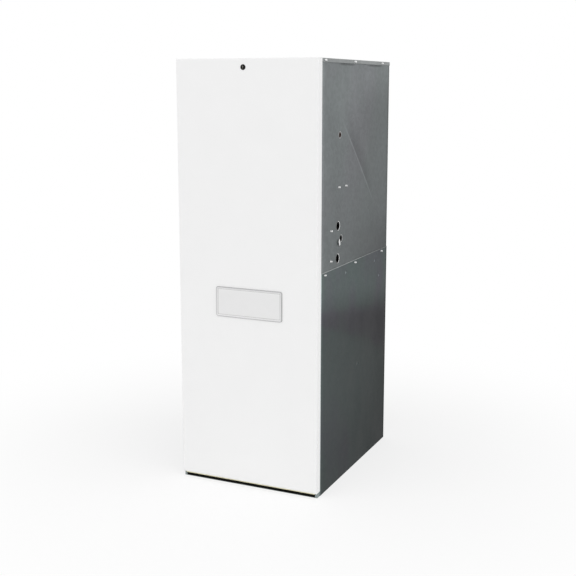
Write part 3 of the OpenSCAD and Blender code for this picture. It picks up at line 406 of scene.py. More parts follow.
# Painted light and shade on the lower side panels: under_seam and front_margin lighten them as painted highlight,
# at_foot and towards_back darken them as painted shade, and back_margin darkens them along the back edge.
# Each of these is a change along one measure: where it starts and ends, and its value at the start and at the end
under_seam = 0.56, 0.71, 0.9, 1.6
at_foot = 0.35, 0.05, 1.0, 0.78
towards_back = 0.70, 0.57, 0.34, 0.62
cooler_below = -0.12, 0.05, -0.2, 0.04
front_margin = front + 0.022, front + 0.016, 1.0, 1.15
back_margin = back - 0.018, back - 0.008, 1.0, 0.7


def sloped(tree, value, slope, start):
    """start, and slope times value on top of it."""
    return worked(tree, "ADD", worked(tree, "MULTIPLY", value, slope), start)


def dark_band(tree, y, z):
    """How deep in the cabinet a place is, from 0 to 1, how far inside the dark band, 1 in its middle and 0 outside, and
    how far above its middle. The band slants down to the back and widens on its way there."""
    deep = between(tree, y, 0.0, 1.0, (front, back))
    above = sloped(tree, deep, band_slant, worked(tree, "SUBTRACT", z, band_z))
    off = worked(tree, "DIVIDE", worked(tree, "ABSOLUTE", above), sloped(tree, deep, band_widening, band_half))
    return deep, eased(tree, off, 1.4, 0.4), above


def lower_kept(tree, place):
    """Painted highlight under the seam, along the front edge and in the dents; painted shade towards the back and the
    foot, deepest in the slanted band; and dark along the back edge."""
    y, z = side_and_height(tree, place)
    deep, band = dark_band(tree, y, z)[:2]
    slanted = sloped(tree, deep, 0.08, z)
    share = product(tree, eased(tree, slanted, *under_seam), eased(tree, z, *at_foot),
                    less(tree, product(tree, deep, eased(tree, slanted, *towards_back))),
                    less(tree, product(tree, band, sloped(tree, deep, *band_shade))),
                    eased(tree, y, *front_margin), eased(tree, y, *back_margin))
    for dent in dents:
        away = measured(tree, "DISTANCE", place, dent)
        share = product(tree, share, eased(tree, away, 0.7 * dent_size, 0.002, 1.0, dent_highlight))
    return product(tree, share, front_edge_highlight(tree, place))


def lower_warmed(tree, place):
    """Warmest in the slanted band, and cooler below it."""
    deep, band, above = dark_band(tree, *side_and_height(tree, place))
    return worked(tree, "ADD", eased(tree, above, *cooler_below),
                  product(tree, band, sloped(tree, deep, *band_warmth)))


def dented(material):
    """Shallow round dents in the right panel, as smooth steps of the distance from each middle."""
    tree = material.node_tree
    place = tree.nodes["Texture Coordinate"].outputs["Object"]
    depth = 0.0
    for dent in dents:
        away = measured(tree, "DISTANCE", place, dent)
        depth = worked(tree, "ADD", depth, eased(tree, away, dent_size, 0.0))
    raised(tree, tree.nodes["Principled BSDF"], less(tree, depth), dent_depth)


def foil_face(name):
    """Foil over fibre wool: crumpled by two noises, with the square net of threads that shows through it as ridges."""
    material, tree, shader, place = plain_finish(name, foil_grey, 0.85, 0.32)
    crumple = noise(tree, place, 60, 4, 0.6)
    tree.links.new(between(tree, crumple, 0.24, 0.46), shader.inputs["Roughness"])
    colour = np.array(foil_grey)
    tree.links.new(between(tree, noise(tree, place, 7), colour * 0.9, colour * 1.08), shader.inputs["Base Color"])
    raised(tree, shader, crumple, 0.0015, 0.5)
    for direction in ("X", "Y", "Z"):
        threads = tree.nodes.new("ShaderNodeTexWave")
        threads.bands_direction = direction
        threads.wave_profile = "SIN"
        threads.inputs["Scale"].default_value = 2 * pi / scrim_step / wave_radians
        tree.links.new(place, threads.inputs["Vector"])
        raised(tree, shader, between(tree, threads.outputs["Fac"], 0.0, 1.0, (0.93, 1.0)), 0.0004, 0.6)
    return material


def blanket(corner, along, up, out, cuts=()):
    """Grids of the face and the flat back of an insulation blanket, in millimetres. Its thickness is out's length, less
    at the pressed edges, in a dimple at each pin and, for each (u, v, radius) in cuts, down to a skin there."""
    corner, along, up, out = (np.array(part, float) for part in (corner, along, up, out))
    wide, high = np.linalg.norm(along), np.linalg.norm(up)
    u = np.linspace(0, wide, int(wide // wool_step) + 2)[:, None]
    v = np.linspace(0, high, int(high // wool_step) + 2)[None, :]
    edge = np.clip(np.minimum(np.minimum(u, wide - u), np.minimum(v, high - v)) / pressed_edge, 0, 1)
    depth = 0.42 + 0.5 * np.sqrt(1 - (1 - edge) ** 2)
    pins_u, pins_v = (max(1, round(size / gap)) for size, gap in zip((wide, high), pin_gaps))
    near_u = np.abs((u / wide * pins_u) % 1 - 0.5) * wide / pins_u
    near_v = np.abs((v / high * pins_v) % 1 - 0.5) * high / pins_v
    depth = depth - 0.4 * np.exp(-(near_u ** 2 + near_v ** 2) / dimple_r ** 2)
    depth = depth + 0.05 * np.sin(u / 47 + 1) * np.sin(v / 61 + 2) + 0.025 * np.sin(u / 19) * np.sin(v / 23)
    for cut_u, cut_v, radius in cuts:
        depth = np.where(np.hypot(u - cut_u, v - cut_v) < radius, 0.03, depth)
    flat = corner + (u / wide)[..., None] * along + (v / high)[..., None] * up
    return np.stack([flat + depth[..., None] * out, flat]) * mm


def blankets(name, node, body, *grids):
    """One piece of several blankets: the quads of each face and back, and of the wall between their borders."""
    points, faces, start = [], [], 0
    for grid in grids:
        rows, columns = grid.shape[1:3]
        count = rows * columns
        index = np.arange(count).reshape(rows, columns)
        border = np.concatenate([index[0], index[1:, -1], index[-1, -2::-1], index[-2:0:-1, 0]])
        onward = np.roll(border, -1)
        wall = np.stack([border, onward, onward + count, border + count], 1)
        faces += quads(index, start=start) + quads(index, start=start + count) + (start + wall).tolist()
        points.append(grid.reshape(-1, 3))
        start += 2 * count
    made = piece(name, np.concatenate(points), faces, body, foil, 50)
    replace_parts(made, node)


def wall_blankets(name, node, corner, size, at_back, cuts=()):
    """Blankets of one height on the right, left and back walls. corner is the X and Z of the right one's lower front
    corner, size its length and height, and at_back the half width and the Y of the one at the back, in millimetres."""
    (x, z), (length, height), (back_half, back_y) = corner, size, at_back
    blankets(name, node, "cabinet",
             blanket((x, liner_front, z), (0, length, 0), (0, 0, height), (-side_wool, 0, 0), cuts),
             blanket((-x, liner_front, z), (0, length, 0), (0, 0, height), (side_wool, 0, 0)),
             blanket((-back_half, back_y, z), (2 * back_half, 0, 0), (0, 0, height), (0, -back_wool, 0)))


def hem_highlight(tree, place):
    """Painted highlight: bright along the front half of the seam, and duller towards the back."""
    return eased(tree, side_and_height(tree, place)[0], -0.15, 0.28, 1.0, 0.52)


zinc = zinc_sheet("zinc", (0.235, 0.250, 0.250))
foil = foil_face("foil")
lower_zinc = zinc_sheet("lower_zinc", lower_tint, contrast=0.08, warmer=lower_warm, kept=lower_kept,
                        warmed=lower_warmed)
dented(lower_zinc)
dress(lower_zinc, "side_lower_right", "side_lower_left")
dress(dark_zinc, "back_lower")
dress(zinc, "coil_rails", "base_rail", "front_mid_rail")
wall_blankets("lower_blankets", "lower_liner", (249.6, 26), (594, 669), (247, 328.8))
# The hem's light tint is a painted highlight along the lit top of the rolled edge.
hem_zinc = zinc_sheet("hem_zinc", (0.34, 0.355, 0.355), kept=hem_highlight)
hem_run = np.linspace(front + 0.5 * mm, back + 0.5 * mm, 70)
for side, name in ((1, "hem_right"), (-1, "hem_left")):
    hem_path = np.stack([side * (half_width + 0.5 * mm + 0.12 * mm * np.sin(hem_run * 23)), hem_run,
                         seam - 1.0 * mm + 0.15 * mm * np.sin(hem_run * 17)], 1)
    hem = carried(oval(2.4 * mm, 2.6 * mm, 2.4, 16), hem_path, (0, 0, 1))
    piece(name, hem, rod(hem), "cabinet", hem_zinc, 60)

# Upper cabinet. Cross broken side panels and the back, lighter than those below, with their insulation. On the side
# panels that lighter tone, and their darkening below the top, towards the back and above the seam, are painted light
# and shade. The creases run from corner to corner of each side; the one down from the top front corner carries a
# painted highlight along it and painted shade on the slope behind it.
# The upper side panels' tint is lighter than the lower ones' as painted light.
upper_tint, upper_warm = (0.170, 0.187, 0.189), (0.176, 0.184, 0.192)
field_front, field_back, field_low, field_high, field_rise = -282, 312, 800, 1375, 3
below_top = 1.40, 1.20, 1.15, 0.99
above_seam = 1.12, 0.9, 1.0, 0.93
behind_top, behind_seam = (1.39, 1.25, 0.03, 0.24), (0.95, 0.75, 0.0, 0.28)
# upper_front_margin lightens the flat front margin as a painted highlight; upper_back_margin darkens the back edge.
upper_front_margin = front + 0.021, front + 0.016, 1.0, 1.18
upper_back_margin = back - 0.018, back - 0.008, 1.0, 0.78
# Along the crease down from the top front corner: a painted highlight line, and painted shade on the slope behind it.
crease_y, crease_highlight, crease_shade = 0.03, (0.005, 0.002, 0.0, 0.26), (0.08, 0.01, 0.0, 0.2)
# A wide painted highlight at the top of the bright crease, on both side panels.
patch_y, patch_z, highlight_patch = -0.09, 1.26, (0.02, 0.16, 1.16, 1.0)
# A painted shadow on the side panels just under the top cover's edge, where it bows out between the screws.
flange_shadow_ys, flange_shadow_height, flange_shadow_spread = (-0.085, 0.18), (1.399, 1.4045, 0.0, 0.4), (0.085, 0.04)


def rise(y, z):
    """How far a cross broken panel stands out at a place, in millimetres: a low pyramid over its field."""
    middle_y, middle_z = (field_front + field_back) / 2, (field_low + field_high) / 2
    nearest = np.minimum(1 - np.abs(y - middle_y) / (field_back - middle_y),
                         1 - np.abs(z - middle_z) / (field_high - middle_z))
    return field_rise * np.clip(nearest, 0, None)


def at_crease(tree, place, y):
    """Painted light at one crease, down from the top front corner: a painted highlight line, with painted shade on the
    slope behind it near it, both clearest about the panel's middle."""
    across = np.array((0, field_high - field_low, field_back - field_front), float)
    across /= np.linalg.norm(across)
    off = worked(tree, "SUBTRACT", measured(tree, "DOT_PRODUCT", place, across),
                 float(across @ (0, field_front * mm, field_high * mm)))
    from_middle = worked(tree, "ABSOLUTE", worked(tree, "SUBTRACT", y, crease_y))
    bright = product(tree, eased(tree, worked(tree, "ABSOLUTE", off), *crease_highlight),
                     eased(tree, from_middle, 0.18, 0.07))
    slope = product(tree, eased(tree, off, 0.001, 0.006), eased(tree, off, *crease_shade),
                    eased(tree, from_middle, 0.15, 0.05))
    return worked(tree, "ADD", 1.0, worked(tree, "SUBTRACT", bright, slope))


def upper_kept(tree, place):
    """Painted shade below the top, deeper towards the back and just above the seam. A wide painted highlight at the
    top of the bright crease and on the flat margin along the front edge; darker along the back edge; and a painted
    shadow under the top cover's edge in the two places where it stands off."""
    y, z = side_and_height(tree, place)
    deep = between(tree, y, 0.0, 1.0, (front, back))
    behind = less(tree, product(tree, deep, eased(tree, z, *behind_top)))
    lowest = product(tree, deep, eased(tree, z, *behind_seam))
    share = product(tree, eased(tree, z, *below_top), eased(tree, z, *above_seam),
                    worked(tree, "SUBTRACT", behind, lowest), at_crease(tree, place, y),
                    eased(tree, y, *upper_front_margin), eased(tree, y, *upper_back_margin))
    for side in (-1, 1):
        away = measured(tree, "DISTANCE", place, (side * half_width, patch_y, patch_z))
        share = product(tree, share, eased(tree, away, *highlight_patch))
    high_up = eased(tree, z, *flange_shadow_height)
    for middle in flange_shadow_ys:
        away = worked(tree, "ABSOLUTE", worked(tree, "SUBTRACT", y, middle))
        flange_shadow = product(tree, high_up, eased(tree, away, *flange_shadow_spread))
        share = product(tree, share, less(tree, flange_shadow))
    return share


upper_zinc = zinc_sheet("upper_zinc", upper_tint, contrast=0.09, warmer=upper_warm, kept=upper_kept)
dress(upper_zinc, "side_upper_right", "side_upper_left")
dress(zinc, "front_top_rail", "back_upper")
wall_blankets("upper_blankets", "upper_liner", (248.8, 1018), (593, 352), (246, 327.8), ((126, 162, 14),))

# Top cover. One sheet with the return air opening in it, its edges turned down over the panels at both
# sides and the back, where they bow out a little between the screws that hold them.
cover_half, cover_back, cover_top, cover_flange, cover_bend = 251, 331, 1421, 12.5, 2.5
opening_half, opening_front, opening_back = 200, -235.5, 265.5
cover_screws = (-275, -20, 248)
bows = np.array((0.4, 2.0, 2.0, 0.4))
# The cover's tint is lighter than the side panels', partly its own sheet and partly a painted highlight on its turned
# down edges.
cover_tint = (0.30, 0.315, 0.315)


def cover_grid():
    """Grid over the left, back and right of the cover, in millimetres. Its rows run round from one front corner to the
    other, and its columns from the foot of the turned down edge, round the bend and over to the opening: each column
    has its inset from the sides, its inset from the back and its height."""
    bend = np.linspace(0, pi / 2, 6)
    rim = cover_bend * (1 - np.cos(bend))
    inset_side = np.concatenate([[0, 0, 0], rim, [20, cover_half - opening_half]])
    inset_back = np.concatenate([[0, 0, 0], rim, [26, cover_back - opening_back]])
    height = np.concatenate([cover_top - cover_flange + np.array((0, 3, 6)),
                             cover_top - cover_bend + cover_bend * np.sin(bend), [cover_top, cover_top]])
    fall = np.clip((cover_top - cover_bend - height) / (cover_flange - cover_bend), 0, 1) ** 1.5
    opens, closes, ends = (edge - front / mm for edge in (opening_front, opening_back, cover_back))
    run = np.concatenate([np.linspace(0, opens, 5), np.linspace(opens, closes, 60)[1:],
                          np.linspace(closes, ends, 9)[1:]]) / ends
    length = ends - inset_back
    knots = np.array((-330, *cover_screws, 420))
    y = front / mm + run[:, None] * length
    span = np.clip(np.searchsorted(knots, y) - 1, 0, len(knots) - 2)
    part = (y - knots[span]) / (knots[span + 1] - knots[span])
    bowed = bows[span] * np.sin(pi * part) ** 2 * fall
    right = np.stack([cover_half - inset_side + bowed, y, height + 0 * y], 2)
    across = np.linspace(1, -1, 41)[1:-1, None]
    rear = np.stack([across * (cover_half - inset_side),
                     cover_back - inset_back + 0.6 * bows[1] * np.cos(across * pi / 2) ** 2 * fall,
                     height + 0 * across], 2)
    left = right[::-1] * (-1, 1, 1)
    return np.concatenate([right, rear, left]), y[:5, -1]


cover_points, strip_ys = cover_grid()
strip_xs = np.linspace(-opening_half, opening_half, 31)
strip = np.stack(np.broadcast_arrays(strip_xs[:, None], strip_ys, cover_top), 2)
cover = piece("top_cover_sheet", np.concatenate([cover_points.reshape(-1, 3), strip.reshape(-1, 3)]) * mm,
              quads(cover_points) + quads(strip, start=cover_points[..., 0].size),
              "cabinet", zinc_sheet("cover_zinc", cover_tint))
thickness = cover.modifiers.new("thickness", "SOLIDIFY")
thickness.thickness = 1 * mm
thickness.offset = -1
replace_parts(cover, "top_cover")

# Cable entries in the right panel. Each hole has a rolled rim with a painted highlight on its roll and its lip painted
# dark as shade, and the small one's slug, lighter as a painted highlight, is folded out over the panel about its lower
# front. The thermostat cable's hole has a brown rubber grommet in a raised ring, whose roll also has a painted
# highlight.
entry_y, entry_zs, entry_r = -160, (776, 884), 14.3
small_y, small_z, small_r, slug_side, slug_lift = -132, 839, 11.1, radians(30), radians(12)
stat_y, stat_z, stat_r = -152, 1180, 6.5


def own_mark(tree, name):
    """What the attribute of that name says at each place of a piece."""
    mark = tree.nodes.new("ShaderNodeAttribute")
    mark.attribute_name = name
    return mark.outputs["Fac"]


rim_zinc, tree, shader, place = plain_finish("rim_zinc", (0.3, 0.3, 0.3), 0.4, 0.4)
rim_tones = between(tree, own_mark(tree, "rim_light"), (0.01, 0.01, 0.01), (0.9, 0.9, 0.9), (0, 1))
tree.links.new(times(tree, rim_tones, between(tree, noise(tree, place, 300), 0.85, 1.1)), shader.inputs["Base Color"])


def ringed(radius, height, centre, out, sides=48):
    """Rings of vertices round an axis, in millimetres: ring k has its height along out and its radius, which may also
    vary round the ring."""
    turn = np.arange(sides) * 2 * pi / sides
    out = np.array(out, float)
    across = np.array((0.0, 1.0, 0.0)) if out[0] else np.array((1.0, 0.0, 0.0))
    round_it = np.cos(turn)[:, None] * across + np.sin(turn)[:, None] * np.array((0.0, 0.0, 1.0))
    radius = np.reshape(radius, (len(height), -1, 1))
    return np.array(centre) + np.reshape(height, (-1, 1, 1)) * out + radius * round_it


def on_panel(points):
    """Rings moved out with the cross broken panel under each of their vertices, and turned into metres."""
    lift = np.zeros_like(points)
    lift[..., 0] = rise(points[..., 1], points[..., 2])
    return (points + lift) * mm


def rim(name, centre_y, centre_z, radius, roll, lip, fore=0.2, rear=1.0):
    """Rolled rim of a hole: a ring whose section goes over the roll, down the lip into the hole, and back behind it.
    Its roll has a painted highlight, as much as fore says on the side towards the door and as rear says on the other,
    and the lip is painted dark as shade inside the hole."""
    arc = np.linspace(0, pi, 9)
    out = np.concatenate([radius + roll * (1 + np.cos(arc)), [radius - 0.1, radius + 0.5, radius + 0.5]])
    high = np.concatenate([0.8 * roll * np.sin(arc), [-lip, -lip, -0.1]])
    points = on_panel(ringed(out, high, (half_width / mm, centre_y, centre_z), (1, 0, 0)))
    turned = np.clip(0.5 + 3 * np.cos(np.arange(points.shape[1]) * 2 * pi / points.shape[1]), 0, 1)
    rim_light = np.where(np.arange(12)[:, None] > 7, 0, fore + (rear - fore) * turned)
    return piece(name, points, quads(points, True, True), "cabinet", rim_zinc, 50, "rim_light", rim_light)


rim("entry_rim_low", entry_y, entry_zs[0], entry_r, 1.0, 1.2)
rim("entry_rim_high", entry_y, entry_zs[1], entry_r, 1.0, 1.2)
rim("entry_rim_small", small_y, small_z, small_r, 0.6, 1.2)
rim("grommet_ring", stat_y, stat_z, stat_r + 2.4, 1.6, 0.4, 0.3, 0.45)
slug_r = small_r - 0.3
slug_out = np.array((0, slug_r - 3.4, slug_r - 2.6, slug_r - 1.6, slug_r - 0.4, slug_r, slug_r, slug_r - 0.4, 0))
slug_high = np.array((0.9, 0.9, 0.95, 1.2, 1.2, 0.9, 0.2, 0, 0))
slug_points = ringed(slug_out, slug_high, (0, slug_r, 0), (1, 0, 0))
lifted = np.array(((np.cos(slug_lift), np.sin(slug_lift), 0), (-np.sin(slug_lift), np.cos(slug_lift), 0), (0, 0, 1)))
swung = np.array(((1, 0, 0), (0, -np.cos(slug_side), np.sin(slug_side)), (0, -np.sin(slug_side), -np.cos(slug_side))))
hinge = np.array((0, small_y - small_r * np.cos(slug_side), small_z - small_r * np.sin(slug_side)))
hinge[0] = half_width / mm + 0.05 + rise(hinge[1], hinge[2])
slug_points = (slug_points @ (swung @ lifted).T + hinge) * mm
# The folded slug is coloured far lighter than the panel as a painted highlight.
slug = piece("folded_slug", slug_points, quads(slug_points, columns_round=True), "cabinet",
             zinc_sheet("slug_highlight_zinc", (0.78, 0.79, 0.79), 0.004))
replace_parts(slug, "knockout_slug")
arc = np.linspace(0, 2 * pi, 17)[:-1]
collar_out = np.concatenate([stat_r - 0.4 + 2.3 * np.cos(arc[:13]), [stat_r - 0.1, stat_r - 0.1, stat_r - 2.9]])
collar_high = np.concatenate([1.0 + 0.9 * np.sin(arc[:13]), [0.1, -2.9, -2.9]])
collar_points = on_panel(ringed(collar_out, collar_high, (half_width / mm, stat_y, stat_z), (1, 0, 0)))
collar = piece("cable_grommet", collar_points, quads(collar_points, True, True), "cabinet",
               mottled("brown_rubber", (0.030, 0.015, 0.010), 0.0, 0.7, 700, 0.00005, specular=0.1), 60)
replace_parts(collar, "thermostat_grommet")

# Blower. Scroll housing, wheel and mount in the light sheet, a dark enamelled motor on a bright steel shaft,
# and its capacitor in a drawn can.
bright_zinc = mottled("bright_zinc", (0.50, 0.51, 0.52), 0.9, 0.3, 600, 0.00002)
enamel = mottled("motor_enamel", (0.030, 0.033, 0.037), 0.2, 0.38, 260, 0.0001)
dress(zinc, "blower_deck", "blower_housing", "blower_wheel", "motor_mount", "capacitor_strap")
dress(bright_zinc, "wheel_hub", "motor_shaft")
dress(enamel, "blower_motor")
dress(mottled("drawn_can", (0.62, 0.63, 0.64), 0.95, 0.25, 900, 0.00002), "run_capacitor")

# Heating elements. A steel front plate with two rods, mica cards on them, and one coiled resistance wire,
# which runs out and back between two brass terminals in ceramic bushes.
element_xs = (-80, 0, 80)
heater_z, coil_spread, coil_tail = 880, 45, 14
coil_r, wire_r, coil_pitch, coil_turns, coil_start = 12, 1.2, 22, 14, -64
wire_finish = mottled("resistance_wire", (0.085, 0.066, 0.052), 0.75, 0.5, 900, 0.00004, 0.25)


def coil_line(x):
    """Middle line of one element's wire: down its tail, round the upper coil to its far end, across, and back along the
    lower one, which mirrors it. The coil starts and stops gently: its run grows as the square of the angle over the
    first and last quarter turns."""
    whole = 360 * coil_turns
    turn = np.linspace(0, whole, 24 * coil_turns + 1)
    left = whole - turn
    run = np.where(turn < 90, turn ** 2 / 180, turn - 45)
    run = np.where(left < 90, whole - 90 - left ** 2 / 180, run)
    angle = np.radians(turn)
    upper = np.stack([x + coil_r * np.cos(angle), coil_start + coil_pitch / 360 * run,
                      heater_z + coil_spread - coil_r * np.sin(angle)], 1)
    tail = np.stack([np.full(5, x + coil_r), np.full(5, coil_start),
                     heater_z + coil_spread + np.linspace(coil_tail, 3, 5)], 1)
    upper = np.concatenate([tail, upper])
    return np.concatenate([upper, upper[::-1] * (1, 1, -1) + (0, 0, 2 * heater_z)])


for number, element_x in enumerate(element_xs, 1):
    wire = carried(oval(2 * wire_r, 2 * wire_r, 2, 8), coil_line(element_x), (0, 1, 0)) * mm
    wire = piece(f"coiled_wire_{number}", wire, rod(wire), "cabinet", wire_finish, 60)
    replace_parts(wire, f"heater_coil_{number}")
dress(zinc, "heater_rack_1", "heater_rack_2", "heater_rack_3")
dress(mottled("mica", (0.68, 0.62, 0.50), 0.0, 0.55, 350, 0.00008, 0.14), "heater_cards")
dress(mottled("brass", (0.62, 0.42, 0.14), 1.0, 0.3, 500, 0.00002), "heater_terminals")
black_plastic = mottled("black_plastic", (0.014, 0.014, 0.014), 0.0, 0.42, 800, 0.00004)
dress(black_plastic, "limit_switches")

# Control compartment. Floor, wall and cover round two breakers on a bracket, a transformer, two sequencers
# and a terminal strip.
pale_plastic = mottled("pale_plastic", (0.62, 0.61, 0.57), 0.0, 0.4, 700, 0.00003)
dress(zinc, "control_floor", "control_wall", "control_cover", "breaker_bracket")
dress(black_plastic, "breaker_1", "breaker_2", "sequencers")
dress(pale_plastic, "breaker_toggle_1", "breaker_toggle_2", "terminal_strip")
dress(enamel, "transformer")

# Air filter. A pleated cloth in a card frame, in its sheet metal rack under the top cover. The cloth is one
# sheet, folded to and fro and glued into the frame at its ends.
cloth_w, cloth_d, cloth_low, cloth_middle, folds, fold_h = 354, 455, 1395.5, 15, 24, 13


def pleats():
    """Grid of the folded cloth, in millimetres: its height is a rounded triangle wave of the distance along it, the
    arc sine of most of a sine, which leans and sags a little across its width."""
    along = np.linspace(0, folds, folds * 10 + 1)
    across = np.linspace(-1, 1, 33)[:, None]
    lean = 0.06 * np.sin(across * 5 + along * 0.7) * np.sin(along * pi / folds)
    most = 0.985
    wave = 0.5 - 0.5 * np.arcsin(most * np.cos((along + lean) * pi)) / np.arcsin(most)
    sag = 0.5 * (1 - across ** 2) * np.sin(along * pi / folds)
    flat = cloth_middle - cloth_d / 2 + along * cloth_d / folds
    return np.stack(np.broadcast_arrays(across * cloth_w / 2, flat, cloth_low + fold_h * wave - sag), 2) * mm


cloth_points = pleats()
cloth = piece("pleated_cloth", cloth_points, quads(cloth_points), "filter",
              mottled("filter_cloth", (0.58, 0.66, 0.69), 0.0, 0.9, 1200, 0.0006, 0.1), 80)
loft = cloth.modifiers.new("loft", "SOLIDIFY")
loft.thickness = 1.6 * mm
loft.offset = 0
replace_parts(cloth, "filter_media")
dress(zinc, "filter_rack")
dress(mottled("brown_card", (0.30, 0.19, 0.09), 0.0, 0.8, 300, 0.0002, 0.15), "filter_frame")

# Screws. Hex heads with a pressed washer and a hollow top, zinc plated and bright, along the top cover, the
# seam and the deck at both sides, up the edges of the back, and beside the cable entries. A level band across each
# head is a painted highlight, and the head is painted grey above and below it.
screw_r, screw_point, side_head, back_head = 4.6, 7, 4.5, 2
lap_x, panel_x, lap_y, panel_y = 251, 250.05, 331, 330
top_screw_z, seam_screw_z, deck_screw_z = 1414.75, 738, 1011
seam_screws = (-270, 0, 270)
panel_screws = ((-156, deck_screw_z), (-96, deck_screw_z))
entry_screws = ((-219, 775), (-219, 874.5))
back_screw_x, back_screw_zs = 241, (119.5, 418.3, 700, 820, 1080, 1340)
plated = mottled("plated_steel", (0.95, 0.95, 0.95), 0.6, 0.22, 700, 0.00002, 0.04)
# Above and below each head's painted highlight band, the screws are painted this grey.
off_highlight_grey = (0.30, 0.31, 0.31)
tree = plated.node_tree
tree.links.new(between(tree, own_mark(tree, "off_highlight"), (0.95, 0.95, 0.95), off_highlight_grey, (0, 1)),
               tree.nodes["Principled BSDF"].inputs["Base Color"])


def hex_head(seat, out, height):
    """Rings of one screw, in millimetres: over the hollow top, where each ring goes from round to six sided, down the
    flats, over the washer and along the shank to its point. A hexagon's radius is its apothem over the cosine of the
    angle from the nearest flat's middle."""
    turn = np.arange(24) * 2 * pi / 24
    flats = 0.82 * screw_r * np.cos(pi / 6) / np.cos((turn + pi / 6) % (pi / 3) - pi / 6)
    round_r = np.array((0, 0.38, 0.5, 0.62, 0.7, 0.7, 0.86, 0.97, 1, 1, 0.41, 0.41, 0.05, 0))[:, None] * screw_r
    six = np.array((0, 0, 0, 0.5, 0.95, 1, 0, 0, 0, 0, 0, 0, 0, 0))[:, None]
    up = np.array((0.68, 0.72, 0.92, 1, 0.94, 0.36, 0.33, 0.22, 0.1, 0, 0, 0, 0, 0)) * height
    up[11:] = (1 - screw_point, -screw_point, -screw_point)
    return ringed(round_r * (1 - six) + flats * six, up, seat, out, 24)


def screws(name, node, heads):
    """One piece of several screws, each with a painted highlight in a level band and painted grey above and below it.
    """
    count = heads[0][..., 0].size
    faces = [face for number in range(len(heads))
             for face in quads(heads[0], columns_round=True, start=number * count)]
    heads = np.stack(heads)
    off_highlight = np.clip((np.abs(heads[..., 2] - heads[:, :1, :1, 2]) - 1.8) / 1.4, 0, 1)
    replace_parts(piece(name, heads * mm, faces, "cabinet", plated, 30, "off_highlight", off_highlight), node)


side_seats = [(lap_x, y, top_screw_z) for y in cover_screws] + [(lap_x, y, seam_screw_z) for y in seam_screws]
side_seats += [(panel_x + rise(y, z), y, z) for y, z in panel_screws]
heads = [hex_head((side * x, y, z), (side, 0, 0), side_head) for side in (1, -1) for x, y, z in side_seats]
heads += [hex_head((panel_x + rise(y, z), y, z), (1, 0, 0), side_head) for y, z in entry_screws]
screws("side_hex_screws", "side_screws", heads)
heads = [hex_head((side * back_screw_x, lap_y if z < seam / mm else panel_y, z), (0, 1, 0), back_head)
         for side in (1, -1) for z in back_screw_zs]
heads += [hex_head((x * back_screw_x / 2, lap_y, seam_screw_z), (0, 1, 0), back_head) for x in (-1, 0, 1)]
screws("back_hex_screws", "back_screws", heads)

# Door. One pan of sheet with baked white satin paint, insulated inside, hung on two tongues.
paint_white = (0.868, 0.868, 0.868)
door_face = -330
latch_x, latch_z = -7, 1394
dress(mottled("white_paint", paint_white, 0.0, 0.42, 700, 0.00003, 0.006), "door_panel")
blankets("door_blanket", "door_liner", "door",
         blanket((-247, door_face + 1.2, 21), (494, 0, 0), (0, 0, 1397), (0, 11.6, 0), ((240, 1373, 13),)))
dress(bright_zinc, "door_tongues", "latch_strike")

# Nameplate. A slightly crowned light grey face, bare, inside a pressed silver rim with a fine line round the face,
# glued to the door. The rim is painted darker on its outer wall and lighter over its crown as painted shade and
# highlight, and the fine line is a shallow groove painted dark as its shade.
plate_w, plate_h, plate_r, plate_rim, plate_x, plate_z = 240, 100, 7, 4, 8, 634


def rounded(width, height, radius, count=10):
    """Closed outline of a rectangle with round corners: an arc of count points about each corner's middle."""
    turn = np.linspace(0, pi / 2, count) + np.arange(4)[:, None] * pi / 2
    middle_x = np.array((1, -1, -1, 1))[:, None] * (width / 2 - radius)
    middle_z = np.array((1, 1, -1, -1))[:, None] * (height / 2 - radius)
    return np.stack([(middle_x + radius * np.cos(turn)).ravel(), (middle_z + radius * np.sin(turn)).ravel()], 1)


def on_door(outline, high):
    """A closed outline about the plate's middle, that high above the door's face, in millimetres."""
    return np.stack([plate_x + outline[:, 0], np.full(len(outline), door_face - high), plate_z + outline[:, 1]], 1)


rim_inset = np.array((0, 0, 0.4, 1.2, 1.5, 3.0, 3.4, plate_rim, plate_rim))
rim_high = np.array((0, 2.0, 2.7, 3.0, 2.9, 2.7, 2.2, 2.0, 0))
rim_points = np.stack([on_door(rounded(plate_w - 2 * inset, plate_h - 2 * inset, plate_r - inset), high)
                       for inset, high in zip(rim_inset, rim_high)]) * mm
rim_silver, tree, shader, place = plain_finish("rim_silver", (0.5, 0.5, 0.51), 0.35, 0.35)
# The tones across the rim are painted shade and highlight: darker on its outer wall, lighter over the inner half of its
# crown and its inner slope, and between at its inner wall.
tones = tree.nodes.new("ShaderNodeValToRGB")
for number, (share, grey) in enumerate(((0.0, 0.34), (0.3, 0.38), (0.42, 0.62), (0.85, 0.70), (1.0, 0.45))):
    step = tones.color_ramp.elements[number] if number < 2 else tones.color_ramp.elements.new(share)
    step.position = share
    step.color = (grey, grey, grey * 1.01, 1)
tree.links.new(own_mark(tree, "across_rim"), tones.inputs["Fac"])
tree.links.new(tones.outputs["Color"], shader.inputs["Base Color"])
tree.links.new(between(tree, noise(tree, place, 40), 0.3, 0.42), shader.inputs["Roughness"])
bezel = piece("plate_bezel", rim_points, quads(rim_points, True, True), "door", rim_silver, 40,
              "across_rim", np.repeat(rim_inset / plate_rim, rim_points.shape[1]))
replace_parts(bezel, "nameplate_frame")
face_w, face_h, face_r = plate_w - 2 * plate_rim - 0.1, plate_h - 2 * plate_rim - 0.1, plate_r - plate_rim
face_inset, face_high = (0, 0, 2.6, 3.0, 3.4, 3.8), (0, 2.0, 2.0, 1.75, 1.75, 2.0)
inner = rounded(face_w - 2 * face_inset[-1], face_h - 2 * face_inset[-1], 1.5)
face_rings = [on_door(rounded(face_w - 2 * inset, face_h - 2 * inset, max(face_r - inset, 1.5)), high)
              for inset, high in zip(face_inset, face_high)]
